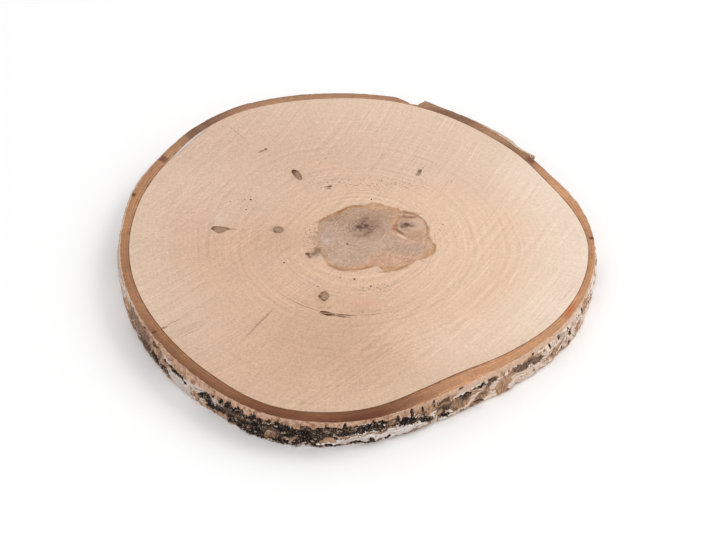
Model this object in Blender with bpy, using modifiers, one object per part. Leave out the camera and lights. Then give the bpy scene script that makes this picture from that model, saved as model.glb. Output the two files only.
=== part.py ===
"""Birch slice: a round of birch trunk sawn straight across, with its bark on, lying flat.

Metres, +Z up along the trunk. The origin is at the middle of the flat underside.
Azimuths are in degrees, anticlockwise from +X as seen from above.
"""

import math

import bmesh
import bpy
from mathutils import Vector, noise

NAME = "birch_slice"
STEPS = 360
THICKNESS = 0.025

# The blank is turned perfectly round, and takes the trunk's outline afterwards.
BLANK_WOOD = 0.166
BLANK_BARK = 0.009
BLANK_EDGE = BLANK_WOOD + BLANK_BARK
WORN_STRIP = 0.0010  # how far the smooth strip under the top edge stands out, before the rough bark

# Half of the blank's cross-section: (distance from the heart, height), from the top down its outer side.
CAMBIUM_DEPTH = 0.0011
SECTION = (
    (0.0, THICKNESS),
    (BLANK_WOOD - 0.0006, THICKNESS),
    (BLANK_WOOD + 0.0003, THICKNESS - CAMBIUM_DEPTH),
    (BLANK_WOOD + 0.0012, THICKNESS - 0.0002),
    (BLANK_EDGE - 0.0030, THICKNESS - 0.0001),
    (BLANK_EDGE, THICKNESS - 0.0005),
    (BLANK_EDGE + 0.0004, THICKNESS - 0.0022),
    (BLANK_EDGE + 0.0007, THICKNESS - 0.0050),
    (BLANK_EDGE + 0.0014, THICKNESS - 0.0066),
    (BLANK_EDGE + 0.0016, THICKNESS - 0.0105),
    (BLANK_EDGE + 0.0016, THICKNESS - 0.0147),
    (BLANK_EDGE + 0.0015, THICKNESS - 0.0190),
    (BLANK_EDGE + 0.0012, THICKNESS - 0.0233),
    (BLANK_EDGE - 0.0002, 0.0),
    (0.0, 0.0),
)

# The bark's sawn edge on the top: (azimuth, distance from the origin).
SAWN_EDGE = (
    (0, 0.1751),
    (14, 0.1731),
    (30, 0.1673),
    (48, 0.1696),
    (75, 0.1757),
    (95, 0.1796),
    (108, 0.1839),
    (121, 0.1876),
    (132, 0.1865),
    (145, 0.1825),
    (160, 0.1803),
    (172, 0.1763),
    (192, 0.1740),
    (215, 0.1728),
    (232, 0.1758),
    (250, 0.1817),
    (262, 0.1808),
    (273, 0.1766),
    (287, 0.1666),
    (300, 0.1617),
    (314, 0.1638),
    (330, 0.1695),
    (345, 0.1735),
)

# How thick the bark is, from the wood out to that edge: (azimuth, thickness).
BARK = (
    (0, 0.0052),
    (18, 0.0084),
    (35, 0.0068),
    (52, 0.0085),
    (70, 0.0074),
    (84, 0.0062),
    (105, 0.0076),
    (130, 0.0078),
    (158, 0.0098),
    (174, 0.0077),
    (205, 0.0089),
    (232, 0.0093),
    (250, 0.0088),
    (272, 0.0110),
    (294, 0.0128),
    (312, 0.0097),
    (340, 0.0061),
)

# Where the bark was torn, at the back right: (azimuth, share of the bark left). Straight between points.
TORN = (
    (36.6, 1.0),
    (37.4, 1.22),
    (40.2, 1.02),
    (41.8, 0.98),
    (44.2, 1.13),
    (60.0, 1.0),
    (69.5, 1.0),
    (72.4, 1.12),
    (73.6, 0.30),
    (75.4, 0.22),
    (77.4, 0.62),
    (79.6, 1.0),
)

# How far the trunk narrows from the top edge down to the underside: (azimuth, distance).
UNDERCUT = (
    (10, 0.0020),
    (60, 0.0010),
    (120, 0.0012),
    (170, 0.0026),
    (200, 0.0030),
    (212, 0.0019),
    (224, 0.0001),
    (243, 0.0002),
    (254, 0.0024),
    (264, 0.0050),
    (288, 0.0049),
    (299, 0.0036),
    (308, 0.0009),
    (322, 0.0001),
    (343, 0.0014),
)
UNDERCUT_POWER = 1.5

# How rough the outer bark is: (azimuth, 0 for papery to 1 for corky and split).
ROUGHNESS = (
    (0, 0.35),
    (60, 0.30),
    (110, 0.45),
    (150, 0.35),
    (195, 0.30),
    (222, 0.50),
    (240, 1.00),
    (270, 1.00),
    (288, 0.85),
    (305, 0.50),
    (320, 0.70),
    (340, 0.45),
)
CORK_RIDGE = 0.0030
CORK_RIDGE_SIZE = (0.0095, 0.0095, 0.022)
PAPER_WAVE = 0.0006
PAPER_WAVE_SIZE = (0.034, 0.034, 0.020)

# Dead branch ends seen end on, as hollows in the top: (x, y, half length, half width, angle of its length).
HOLLOW_SEGMENTS = 14
HOLLOW_RINGS = 6
KNOT_DEPTH = 0.0009
KNOTS = (
    (-0.102, 0.016, 0.0070, 0.0030, -4),
    (-0.059, 0.015, 0.0042, 0.0034, 20),
    (-0.0465, 0.0785, 0.0068, 0.0028, -52),
    (-0.024, -0.056, 0.0042, 0.0040, 0),
)

# A crack along a growth ring, and the lens where it gapes.
SHAKE_CENTRE = (0.000, 0.002)
SHAKE_RADIUS = 0.0780
SHAKE_ARC = (222, 290)
SHAKE_STEPS = 17
SHAKE_WIDTH = 0.0010
SHAKE_DEPTH = 0.0015
SHAKE_END_SHARE = 0.15  # of its width, at both ends
LENS_AZIMUTH = 255
LENS_HALF_LENGTH = 0.0062
LENS_HALF_WIDTH = 0.0021
LENS_DEPTH = 0.0016

WOOD_COLOUR = (0.68, 0.47, 0.32, 1.0)
BARK_COLOUR = (0.34, 0.20, 0.12, 1.0)


def around(points, azimuth):
    """The value at this azimuth on a smooth closed curve through (azimuth, value) points."""
    last = [(angle - 360, value) for angle, value in points[-2:]]
    first = [(angle + 360, value) for angle, value in points[:2]]
    loop = last + list(points) + first
    for before, start, end, after in zip(loop, loop[1:], loop[2:], loop[3:]):
        if start[0] <= azimuth < end[0]:
            span = end[0] - start[0]
            t = (azimuth - start[0]) / span
            slope_in = span * (end[1] - before[1]) / (end[0] - before[0])
            slope_out = span * (after[1] - start[1]) / (after[0] - start[0])
            rise = end[1] - start[1]
            bend = t * (t - 1) * ((t - 1) * slope_in + t * slope_out)
            return start[1] + rise * t * t * (3 - 2 * t) + bend
    raise ValueError(azimuth)


def straight(points, azimuth, outside=1.0):
    """The value at this azimuth on straight lines between the points, and one value outside them."""
    for start, end in zip(points, points[1:]):
        if start[0] <= azimuth < end[0]:
            t = (azimuth - start[0]) / (end[0] - start[0])
            return start[1] + t * (end[1] - start[1])
    return outside


def bark_relief(point, azimuth):
    """How far the outer bark stands out here: split corky ridges, and the slow waves of papery bark."""
    rough = around(ROUGHNESS, azimuth)
    ridges = noise.noise(Vector(c / size for c, size in zip(point, CORK_RIDGE_SIZE)))
    waves = noise.noise(Vector(c / size for c, size in zip(point, PAPER_WAVE_SIZE)))
    return rough * CORK_RIDGE * (0.35 - 2 * abs(ridges)) + PAPER_WAVE * waves


def to_trunk(blank):
    """Moves one point of the round blank out or in to the trunk's own outline."""
    radius = math.hypot(blank.x, blank.y)
    azimuth = math.degrees(math.atan2(blank.y, blank.x)) % 360
    bark = around(BARK, azimuth)
    wood_radius = around(SAWN_EDGE, azimuth) - bark
    bark_left = bark * straight(TORN, azimuth)
    if radius <= BLANK_WOOD:
        moved = radius * wood_radius / BLANK_WOOD
    elif radius <= BLANK_EDGE:
        moved = wood_radius + (radius - BLANK_WOOD) * bark_left / BLANK_BARK
    else:
        moved = wood_radius + bark_left + radius - BLANK_EDGE
    if radius > BLANK_WOOD:
        moved -= around(UNDERCUT, azimuth) * (1 - blank.z / THICKNESS) ** UNDERCUT_POWER
    if radius > BLANK_EDGE + WORN_STRIP:
        moved += bark_relief(blank, azimuth)
    turn = math.radians(azimuth)
    return Vector((moved * math.cos(turn), moved * math.sin(turn), blank.z))


def apply_modifiers(obj):
    """Gives the object its evaluated mesh, with no modifier left."""
    graph = bpy.context.evaluated_depsgraph_get()
    mesh = bpy.data.meshes.new_from_object(obj.evaluated_get(graph))
    obj.modifiers.clear()
    obj.data = mesh


def add_mesh_object(name, bm, collection):
    mesh = bpy.data.meshes.new(name)
    bm.to_mesh(mesh)
    bm.free()
    obj = bpy.data.objects.new(name, mesh)
    collection.objects.link(obj)
    return obj


def turned_blank(collection):
    """The section, turned round Z by a Screw modifier."""
    bm = bmesh.new()
    points = [bm.verts.new((radius, 0.0, height)) for radius, height in SECTION]
    for upper, lower in zip(points, points[1:]):
        bm.edges.new((upper, lower))
    obj = add_mesh_object(NAME, bm, collection)
    screw = obj.modifiers.new("Turn", "SCREW")
    screw.steps = STEPS
    screw.render_steps = STEPS
    screw.use_merge_vertices = True
    screw.merge_threshold = 0.00005
    screw.use_smooth_shade = False
    apply_modifiers(obj)
    return obj


def shape_trunk(obj):
    """Gives the blank its outline and relief, and makes each sawn face of the wood one flat polygon."""
    bm = bmesh.new()
    bm.from_mesh(obj.data)
    heart = [vert for vert in bm.verts if math.hypot(vert.co.x, vert.co.y) < BLANK_WOOD / 2]
    bmesh.ops.dissolve_verts(bm, verts=heart)
    for vert in bm.verts:
        vert.co = to_trunk(vert.co)
    xs = [vert.co.x for vert in bm.verts]
    ys = [vert.co.y for vert in bm.verts]
    middle = Vector(((min(xs) + max(xs)) / 2, (min(ys) + max(ys)) / 2, 0.0))
    bmesh.ops.translate(bm, verts=bm.verts, vec=-middle)
    bmesh.ops.recalc_face_normals(bm, faces=bm.faces)
    bm.to_mesh(obj.data)
    bm.free()


def hollow_cutter(name, x, y, size, angle, collection):
    """A flattened ball, half of which reaches below the top at (x, y)."""
    bm = bmesh.new()
    bmesh.ops.create_uvsphere(bm, u_segments=HOLLOW_SEGMENTS, v_segments=HOLLOW_RINGS, radius=1.0)
    bmesh.ops.scale(bm, verts=bm.verts, vec=size)
    obj = add_mesh_object(name, bm, collection)
    obj.location = (x, y, THICKNESS)
    obj.rotation_euler.z = math.radians(angle)
    return obj


def shake_cutter(collection):
    """A thin wedge bent along a growth ring: widest at its middle, and fading to nothing at both ends."""
    bm = bmesh.new()
    start, end = SHAKE_ARC
    sections = []
    for step in range(SHAKE_STEPS + 1):
        share = step / SHAKE_STEPS
        turn = math.radians(start + share * (end - start))
        gape = SHAKE_END_SHARE + (1 - SHAKE_END_SHARE) * math.sin(math.pi * share)
        half_width = gape * SHAKE_WIDTH / 2
        section = []
        corners = ((-half_width, SHAKE_DEPTH), (half_width, SHAKE_DEPTH), (0.0, -SHAKE_DEPTH * gape))
        for offset, height in corners:
            radius = SHAKE_RADIUS + offset
            x = SHAKE_CENTRE[0] + radius * math.cos(turn)
            y = SHAKE_CENTRE[1] + radius * math.sin(turn)
            section.append(bm.verts.new((x, y, THICKNESS + height)))
        sections.append(section)
    bm.faces.new(sections[0])
    bm.faces.new(sections[-1])
    for here, there in zip(sections, sections[1:]):
        for side in range(3):
            other = (side + 1) % 3
            bm.faces.new((here[side], here[other], there[other], there[side]))
    bmesh.ops.recalc_face_normals(bm, faces=bm.faces)
    return add_mesh_object("shake_cutter", bm, collection)


def lens_cutter(collection):
    """The place where the ring crack gapes."""
    turn = math.radians(LENS_AZIMUTH)
    x = SHAKE_CENTRE[0] + SHAKE_RADIUS * math.cos(turn)
    y = SHAKE_CENTRE[1] + SHAKE_RADIUS * math.sin(turn)
    size = (LENS_HALF_LENGTH, LENS_HALF_WIDTH, LENS_DEPTH)
    return hollow_cutter("lens_cutter", x, y, size, LENS_AZIMUTH - 270, collection)


def cut(obj, cutter):
    boolean = obj.modifiers.new(cutter.name, "BOOLEAN")
    boolean.operation = "DIFFERENCE"
    boolean.object = cutter
    cutter.hide_render = True
    cutter.display_type = "WIRE"


def principled(name, colour, roughness):
    material = bpy.data.materials.new(name)
    material.use_nodes = True
    shader = material.node_tree.nodes["Principled BSDF"]
    shader.inputs["Base Color"].default_value = colour
    shader.inputs["Roughness"].default_value = roughness
    shader.inputs["Metallic"].default_value = 0.0
    return material


def finish(obj):
    """Wood on the sawn faces inside the bark, and bark on the rest."""
    obj.data.materials.append(principled("birch_wood", WOOD_COLOUR, 0.7))
    obj.data.materials.append(principled("birch_bark", BARK_COLOUR, 0.85))
    for face in obj.data.polygons:
        azimuth = math.degrees(math.atan2(face.center.y, face.center.x)) % 360
        wood_radius = around(SAWN_EDGE, azimuth) - around(BARK, azimuth)
        in_bark = math.hypot(face.center.x, face.center.y) > wood_radius
        face.material_index = int(in_bark)


def main():
    for old in list(bpy.data.objects):
        bpy.data.objects.remove(old, do_unlink=True)
    slices = bpy.data.collections.new("birch_slice_parts")
    cutters = bpy.data.collections.new("cutters")
    bpy.context.scene.collection.children.link(slices)
    bpy.context.scene.collection.children.link(cutters)
    trunk = turned_blank(slices)
    shape_trunk(trunk)
    finish(trunk)
    for number, (x, y, half_length, half_width, angle) in enumerate(KNOTS, 1):
        size = (half_length, half_width, KNOT_DEPTH)
        cut(trunk, hollow_cutter(f"knot_cutter_{number}", x, y, size, angle, cutters))
    cut(trunk, shake_cutter(cutters))
    cut(trunk, lens_cutter(cutters))


main()
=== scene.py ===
"""The look of the birch slice: sawn wood with its stained heart and knots, and bark, corky here and papery there.

Metres, in the part's own frame: +Z up along the trunk, the origin in the middle of the flat underside.
Azimuths are in degrees, anticlockwise from +X as seen from above.
"""

import math
import random

import bpy
import numpy as np
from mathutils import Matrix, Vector, noise


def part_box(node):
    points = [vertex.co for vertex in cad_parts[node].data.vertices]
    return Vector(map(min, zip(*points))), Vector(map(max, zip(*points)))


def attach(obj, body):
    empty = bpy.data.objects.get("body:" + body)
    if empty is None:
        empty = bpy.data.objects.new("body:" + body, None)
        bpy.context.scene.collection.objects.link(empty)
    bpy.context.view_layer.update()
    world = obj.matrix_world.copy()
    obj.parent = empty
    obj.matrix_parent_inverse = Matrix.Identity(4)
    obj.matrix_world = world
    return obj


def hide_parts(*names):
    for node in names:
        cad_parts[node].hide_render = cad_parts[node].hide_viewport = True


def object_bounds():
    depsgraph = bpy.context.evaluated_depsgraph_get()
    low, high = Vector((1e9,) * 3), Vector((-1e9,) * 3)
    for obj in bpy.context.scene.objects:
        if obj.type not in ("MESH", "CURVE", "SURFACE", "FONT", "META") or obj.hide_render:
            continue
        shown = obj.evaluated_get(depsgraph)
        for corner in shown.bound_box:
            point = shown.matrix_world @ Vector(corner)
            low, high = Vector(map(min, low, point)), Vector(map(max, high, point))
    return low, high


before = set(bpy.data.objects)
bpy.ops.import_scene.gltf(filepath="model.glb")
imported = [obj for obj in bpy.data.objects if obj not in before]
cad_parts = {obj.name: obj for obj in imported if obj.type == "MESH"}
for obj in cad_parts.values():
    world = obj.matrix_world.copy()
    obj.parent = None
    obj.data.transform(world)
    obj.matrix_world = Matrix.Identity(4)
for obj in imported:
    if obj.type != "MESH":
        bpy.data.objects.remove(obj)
cad_box = [list(corner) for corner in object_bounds()]

MM = 0.001
NODE = "birch_slice"
BODY = "root"
THICKNESS = (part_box(NODE)[1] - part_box(NODE)[0]).z

# The camera looks down on the slice from the front.
VIEW_ELEVATION = 43
VIEW_DISTANCE = 1.5
VIEW_TARGET = Vector((0.00086, -0.02882, THICKNESS))
LENS = 103.9

# The trunk's outline, as the part has it. The round blank takes it once it is modelled.
BLANK_WOOD = 0.166
BLANK_BARK = 0.009
BLANK_EDGE = BLANK_WOOD + BLANK_BARK
MIDDLE = Vector((0.00008, 0.00032, 0.0))  # the middle of the trunk's box, from which the part is measured

# The bark's sawn edge on the top: (azimuth, distance from the origin).
SAWN_EDGE = (
    (0, 0.1751),
    (14, 0.1731),
    (30, 0.1673),
    (48, 0.1696),
    (75, 0.1757),
    (95, 0.1796),
    (108, 0.1839),
    (121, 0.1876),
    (132, 0.1865),
    (145, 0.1825),
    (160, 0.1803),
    (172, 0.1763),
    (192, 0.1740),
    (215, 0.1728),
    (232, 0.1758),
    (250, 0.1817),
    (262, 0.1808),
    (273, 0.1766),
    (287, 0.1666),
    (300, 0.1617),
    (314, 0.1638),
    (330, 0.1695),
    (345, 0.1735),
)

# How thick the bark is, from the wood out to that edge: (azimuth, thickness).
BARK = (
    (0, 0.0052),
    (18, 0.0084),
    (35, 0.0068),
    (52, 0.0085),
    (70, 0.0074),
    (84, 0.0062),
    (105, 0.0076),
    (130, 0.0078),
    (158, 0.0098),
    (174, 0.0077),
    (205, 0.0089),
    (232, 0.0093),
    (250, 0.0088),
    (272, 0.0110),
    (294, 0.0128),
    (312, 0.0097),
    (340, 0.0061),
)

# Where the bark was torn, at the back right: (azimuth, share of the bark left). Straight between points.
TORN = (
    (36.6, 1.0),
    (37.4, 1.22),
    (40.2, 1.02),
    (41.8, 0.98),
    (44.2, 1.13),
    (60.0, 1.0),
    (69.5, 1.0),
    (72.4, 1.12),
    (73.6, 0.30),
    (75.4, 0.22),
    (77.4, 0.62),
    (79.6, 1.0),
)

# How far the bark narrows from the top edge down to the underside: (azimuth, distance). Less than zero widens it.
UNDERCUT = (
    (10, 0.0012),
    (60, 0.0010),
    (120, 0.0012),
    (170, 0.0020),
    (200, 0.0014),
    (212, 0.0004),
    (224, 0.0000),
    (243, 0.0000),
    (253, -0.0012),
    (260, -0.0002),
    (266, 0.0018),
    (280, 0.0014),
    (289, 0.0004),
    (299, 0.0006),
    (308, -0.0010),
    (322, 0.0000),
    (335, -0.0008),
    (346, 0.0006),
)
UNDERCUT_POWER = 1.5

# How rough the outer bark is: (azimuth, 0 for papery to 1 for corky and split).
ROUGHNESS = (
    (0, 0.35),
    (60, 0.30),
    (110, 0.45),
    (150, 0.35),
    (195, 0.30),
    (222, 0.50),
    (240, 1.00),
    (270, 1.00),
    (288, 0.85),
    (305, 0.50),
    (320, 0.70),
    (340, 0.45),
)
CORK_RIDGE = 0.0030
CORK_RIDGE_SIZE = (0.0095, 0.0095, 0.022)
PAPER_WAVE = 0.0006
PAPER_WAVE_SIZE = (0.034, 0.034, 0.020)

# How far the outer bark stands out from its sawn edge: (height, distance).
SIDE = (
    (0.0000, -0.0002),
    (0.0017, 0.0012),
    (0.0060, 0.0015),
    (0.0103, 0.0016),
    (0.0145, 0.0016),
    (0.0184, 0.0014),
    (0.0200, 0.0007),
    (0.0228, 0.0004),
    (0.0245, 0.0000),
)
WORN_STRIP = 0.0195  # above this height the bark is rubbed smooth, and the rough bark's relief fades out

# The finer mesh of the bark.
BARK_SEGMENTS = 1800
BARK_TOP_ROWS = 12
BARK_SIDE_ROWS = 35
BARK_BOTTOM_ROWS = 3
BARK_OVERLAP = 0.0002  # how far the bark's inner wall sits in the wood

# The finer mesh of the wood: rings on its faces as (how many, how far apart), from the rim inwards.
WOOD_SEGMENTS = 360
TOP_RINGS = ((26, 0.0040), (48, 0.00125))
BOTTOM_RINGS = ((15, 0.0080), (16, 0.0025))

# The pith, about which the young rings lie; the later ones grew about the trunk's middle.
PITH = (0.0023, 0.0174)

# Outlines on the top, in millimetres: the stained heart, the grey wood in it, and the eye round the second pith.
HEART = (
    (-29.5, 10), (-29.5, 19), (-27, 26), (-21.5, 31.5), (-14, 35.5), (-9.5, 39), (-1.5, 43), (5.5, 42), (10.5, 45.5),
    (17.5, 44), (25.5, 41), (31.5, 39.5), (33, 36), (40, 34), (46.5, 31), (50, 27), (52, 20), (54.5, 14.5), (53.5, 6),
    (57, 0), (58.5, -4), (56.5, -12.5), (50.5, -16), (44, -19), (37, -25.5), (30, -29), (20.5, -31.5), (17, -27),
    (14, -24.5), (9, -26.5), (1.5, -29), (-10, -30), (-16, -26.5), (-21.5, -23.5), (-24.5, -17), (-27, -11.5),
    (-29, -5), (-29.5, 1.5),
)
GREY_WOOD = (
    (-31, 7), (-31, 14.5), (-25.5, 23), (-16.5, 31.5), (-9.5, 37), (-1.5, 41), (5.5, 40.5), (10.5, 36), (17.5, 33),
    (23.5, 30.5), (25.5, 22.5), (24, 14.5), (25.5, 9), (31, 2.5), (37.5, -1), (46, 2.5), (51, -3), (49, -9.5),
    (42.5, -14), (34, -12.5), (28, -11.5), (20.5, -8.5), (15.5, -11.5), (10.5, -14), (6, -20.5), (0, -24.5),
    (-8.5, -25.5), (-16, -23.5), (-21, -17), (-25, -12), (-30, -3),
)
EYE = (
    (27.5, 19), (31.5, 29), (37.5, 33), (45, 31), (50, 26), (52.5, 19), (51.5, 10), (45.5, 3.5), (39.5, 7), (33, 12),
)

# Soft shades in the stained heart, in millimetres: (x, y, half length, half width, angle, softness, strength, tint).
HEART_SHADES = (
    (-4, 29, 16, 9, 15, 0.7, 0.70, (162, 127, 100)),
    (-12, 31, 6, 3.5, 25, 0.7, 0.60, (156, 116, 86)),
    (18, 28, 10, 9, 0, 0.7, 0.65, (168, 134, 106)),
    (17, 16, 8, 9, 10, 0.7, 0.60, (164, 130, 106)),
    (2, 12, 12, 9, 0, 0.9, 0.45, (164, 134, 112)),
    (-22, 6, 4, 9, 0, 0.8, 0.40, (190, 172, 160)),
    (-10, -14, 14, 7, -20, 0.9, 0.40, (188, 162, 140)),
    (36, -7, 12, 5, 5, 0.7, 0.30, (186, 151, 128)),
    (14, 41, 12, 3.5, -5, 0.6, 0.7, (196, 161, 118)),
    (44, -22, 12, 4, 25, 0.6, 0.6, (214, 172, 138)),
    (24, -28, 6, 2.5, 0, 0.7, 0.5, (208, 162, 124)),
    (53.5, -10.5, 4.5, 4, 0, 0.7, 0.8, (198, 149, 99)),
    (22, -27, 9, 3, 5, 0.6, 0.5, (188, 146, 106)),
    (-14, -27, 10, 2.6, -12, 0.6, 0.55, (176, 136, 104)),
    (-27, -12, 3.5, 6, 20, 0.7, 0.6, (168, 128, 98)),
    (-27, 16, 3.0, 7, -10, 0.8, 0.6, (172, 142, 122)),
    (26, -27, 9, 1.2, 10, 0.6, 0.5, (182, 130, 92)),
    (36, -20, 11, 1.0, 22, 0.6, 0.45, (186, 138, 104)),
    (25, -21, 9, 1.0, 14, 0.6, 0.40, (188, 142, 112)),
    (12, -20, 7, 2.6, 30, 0.7, 0.45, (196, 150, 126)),
)
# Lines and corners of the heart's brown edge, in the same terms.
HEART_LINES = (
    (-25, 26.5, 6.5, 1.5, 38, 0.6, 0.55, (150, 106, 76)),
    (-20, 25.5, 5.5, 1.4, 12, 0.6, 0.45, (132, 104, 84)),
    (-11.5, 36.5, 5.5, 1.3, 38, 0.5, 0.65, (142, 96, 64)),
    (0, 41.8, 8, 1.4, 8, 0.5, 0.55, (148, 110, 76)),
    (38, 35, 6, 1.2, -12, 0.5, 0.6, (140, 102, 74)),
    (-16, -26.5, 6, 1.2, -30, 0.5, 0.6, (150, 110, 80)),
    (-6, -29.5, 7, 1.1, -4, 0.5, 0.5, (156, 116, 86)),
    (9, -26, 6, 1.2, 15, 0.5, 0.5, (154, 114, 82)),
    (20, -31, 4.5, 1.2, 0, 0.5, 0.55, (150, 116, 86)),
    (34, -27.5, 7, 1.0, 20, 0.5, 0.35, (168, 128, 96)),
    (57, -8, 1.4, 4.0, 0, 0.5, 0.5, (168, 124, 80)),
    (-29, -7, 2.4, 3.4, 10, 0.6, 0.75, (112, 78, 56)),
    (-31.5, -11, 3.2, 2.4, 30, 0.6, 0.6, (136, 104, 80)),
    (-30.5, 5, 2.4, 8, 0, 0.7, 0.45, (160, 128, 106)),
    (-34.5, 7, 1.6, 0.7, 10, 0.5, 0.45, (132, 104, 86)),
    (-31, 12.5, 1.8, 0.8, 20, 0.5, 0.45, (132, 104, 86)),
    (48, -19, 3.5, 0.8, -35, 0.5, 0.35, (160, 124, 98)),
)
# The grown-over second stem: its brown rim, the band over it, and the pale split below it.
EYE_MARKS = (
    (42, 8, 8, 5.5, 15, 0.6, 0.75, (178, 140, 112)),
    (34, 25.5, 6, 4, 20, 0.7, 0.65, (172, 136, 108)),
    (28.5, 17, 2.0, 3.6, 12, 0.6, 0.8, (166, 112, 70)),
    (27.5, 25, 1.8, 5, -20, 0.6, 0.45, (202, 162, 118)),
    (39, 29.2, 7.0, 1.7, -2, 0.5, 0.75, (136, 92, 72)),
    (39.5, 33.5, 7.0, 1.0, -8, 0.5, 0.5, (152, 110, 82)),
    (51, 21, 1.1, 6.5, 12, 0.5, 0.5, (150, 110, 82)),
    (53.5, 17.5, 1.2, 2.2, 0, 0.6, 0.45, (150, 112, 86)),
    (31.5, 12.8, 4.6, 1.3, -42, 0.5, 0.75, (118, 86, 66)),
    (46, 22, 4.5, 5, 8, 0.9, 0.30, (206, 178, 158)),
    (33.6, 7.2, 4.8, 1.1, -37, 0.4, 0.8, (226, 196, 170)),
    (40.5, 2.6, 3.2, 0.8, -25, 0.6, 0.4, (218, 184, 156)),
)
# The dark piths and the smudges that spread from them.
PITH_MARKS = (
    (4.0, 18.0, 8.5, 7.5, 20, 0.9, 0.6, (138, 106, 86)),
    (12, 24, 6.0, 9.0, -20, 0.9, 0.5, (148, 112, 90)),
    (5.0, 25.5, 4.2, 2.0, 60, 0.7, 0.55, (118, 92, 76)),
    (8.2, 11.8, 4.0, 1.6, 55, 0.7, 0.6, (112, 84, 68)),
    (3.2, 8.2, 5.5, 1.3, 5, 0.7, 0.45, (134, 106, 90)),
    (-3.0, 15.0, 2.6, 1.3, 0, 0.7, 0.45, (128, 102, 86)),
    (2.2, 17.6, 2.6, 1.9, 5, 0.6, 0.95, (54, 36, 28)),
    (7.0, 19.6, 1.6, 2.0, 60, 0.6, 0.85, (70, 50, 40)),
    (5.2, 18.4, 4.4, 2.6, 0, 0.8, 0.55, (92, 66, 52)),
    (4.6, 22.6, 2.2, 1.1, 60, 0.6, 0.6, (92, 68, 56)),
    (12.5, 18.0, 3.0, 2.2, 0, 0.8, 0.4, (142, 114, 98)),
    (37.0, 19.6, 6.0, 2.5, 6, 0.8, 0.7, (122, 96, 82)),
    (37.0, 20.6, 2.2, 1.9, 20, 0.6, 0.8, (76, 56, 46)),
    (33.6, 18.8, 1.8, 1.2, 0, 0.6, 0.65, (96, 72, 60)),
    (40.6, 19.2, 1.5, 1.1, 0, 0.5, 0.6, (96, 74, 62)),
    (36.0, 14.6, 3.2, 0.9, 0, 0.6, 0.4, (140, 112, 96)),
    (-6.9, -0.8, 1.1, 1.0, 0, 0.5, 0.85, (84, 62, 50)),
)

# Where tiny dark specks lie thick, in the same terms.
SPECKLED = (
    (4, 17, 11, 9, 10, 0.6, 0.85, (66, 46, 36)),
    (37, 20, 7, 3.5, 0, 0.6, 0.7, (84, 62, 50)),
    (-35, 7, 6, 15, 0, 0.5, 0.8, (124, 92, 70)),
    (-30, -13, 6, 6, 0, 0.6, 0.7, (96, 68, 50)),
    (-10, 22, 17, 13, 10, 0.6, 0.45, (126, 100, 82)),
    (12, -47, 11, 5, 0, 0.5, 0.8, (104, 76, 58)),
    (-83, 46, 7, 13, 0, 0.5, 0.6, (124, 94, 74)),
    (8, 68, 45, 7, -4, 0.5, 0.8, (134, 100, 78)),
    (20, -70, 30, 4, 8, 0.5, 0.5, (142, 108, 86)),
    (60, 10, 8, 24, 10, 0.5, 0.4, (150, 118, 96)),
)
# Broad soft shades of the sapwood, in the same terms. The first, which darkens the front, is painted shade.
WOOD_SHADES = (
    (-8, -100, 48, 40, 0, 0.7, 0.55, (192, 156, 127)),
    (58, -92, 36, 30, -30, 0.8, 0.55, (224, 194, 170)),
    (-95, 55, 42, 30, 30, 0.8, 0.50, (212, 184, 164)),
    (-100, -55, 34, 24, -30, 0.8, 0.30, (212, 180, 156)),
    (-58, 2, 22, 14, 0, 0.7, 0.40, (194, 156, 130)),
    (58, 95, 50, 24, -30, 0.8, 0.35, (214, 188, 168)),
    (-130, 20, 14, 30, 0, 0.8, 0.35, (208, 170, 148)),
    (38, -68, 28, 20, 0, 0.8, 0.35, (206, 166, 136)),
    (2, -64, 14, 7, -5, 0.8, 0.35, (206, 156, 130)),
    (-34, -62, 7, 6, 0, 0.8, 0.35, (204, 158, 130)),
)

# Dead branch ends: the outline of each on the top, in millimetres.
KNOTS = (
    (
        (-108.5, 16), (-106.7, 19), (-101.3, 18.7), (-96.9, 17.9), (-93, 15.8),
        (-96.9, 13.7), (-99.1, 11.9), (-101.3, 10.7), (-103.5, 11.5), (-105.6, 13.3),
    ),
    (
        (-62.4, 15.5), (-61, 18.3), (-58.6, 18.7), (-55.8, 18), (-53.8, 15.2),
        (-55, 13), (-56.7, 11.6), (-60.5, 11.4), (-61.8, 12.9),
    ),
    (
        (-50.3, 82), (-49.3, 84), (-47, 84), (-44.9, 82.3), (-42.4, 77.4),
        (-41.4, 73.3), (-42.7, 71.4), (-44.9, 72.3), (-47.8, 75.8), (-49.6, 79.6),
    ),
    (
        (-25.6, -52.3), (-23.1, -50.7), (-20.5, -52.8), (-19.6, -56.5),
        (-21.2, -59.7), (-23.1, -61.9), (-25.2, -60.3), (-27.8, -56.5), (-26.7, -54.4),
    ),
    (
        (-27, -72.8), (-25.5, -71.4), (-22.5, -71.6), (-18.5, -73), (-15.5, -75.2),
        (-18, -76.3), (-21, -76.4), (-24.5, -74.8),
    ),
)
KNOT_DEPTH = 0.35
KNOT_BED = 0.76  # how much of its size the bed has; the rest is a dark slope
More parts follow.
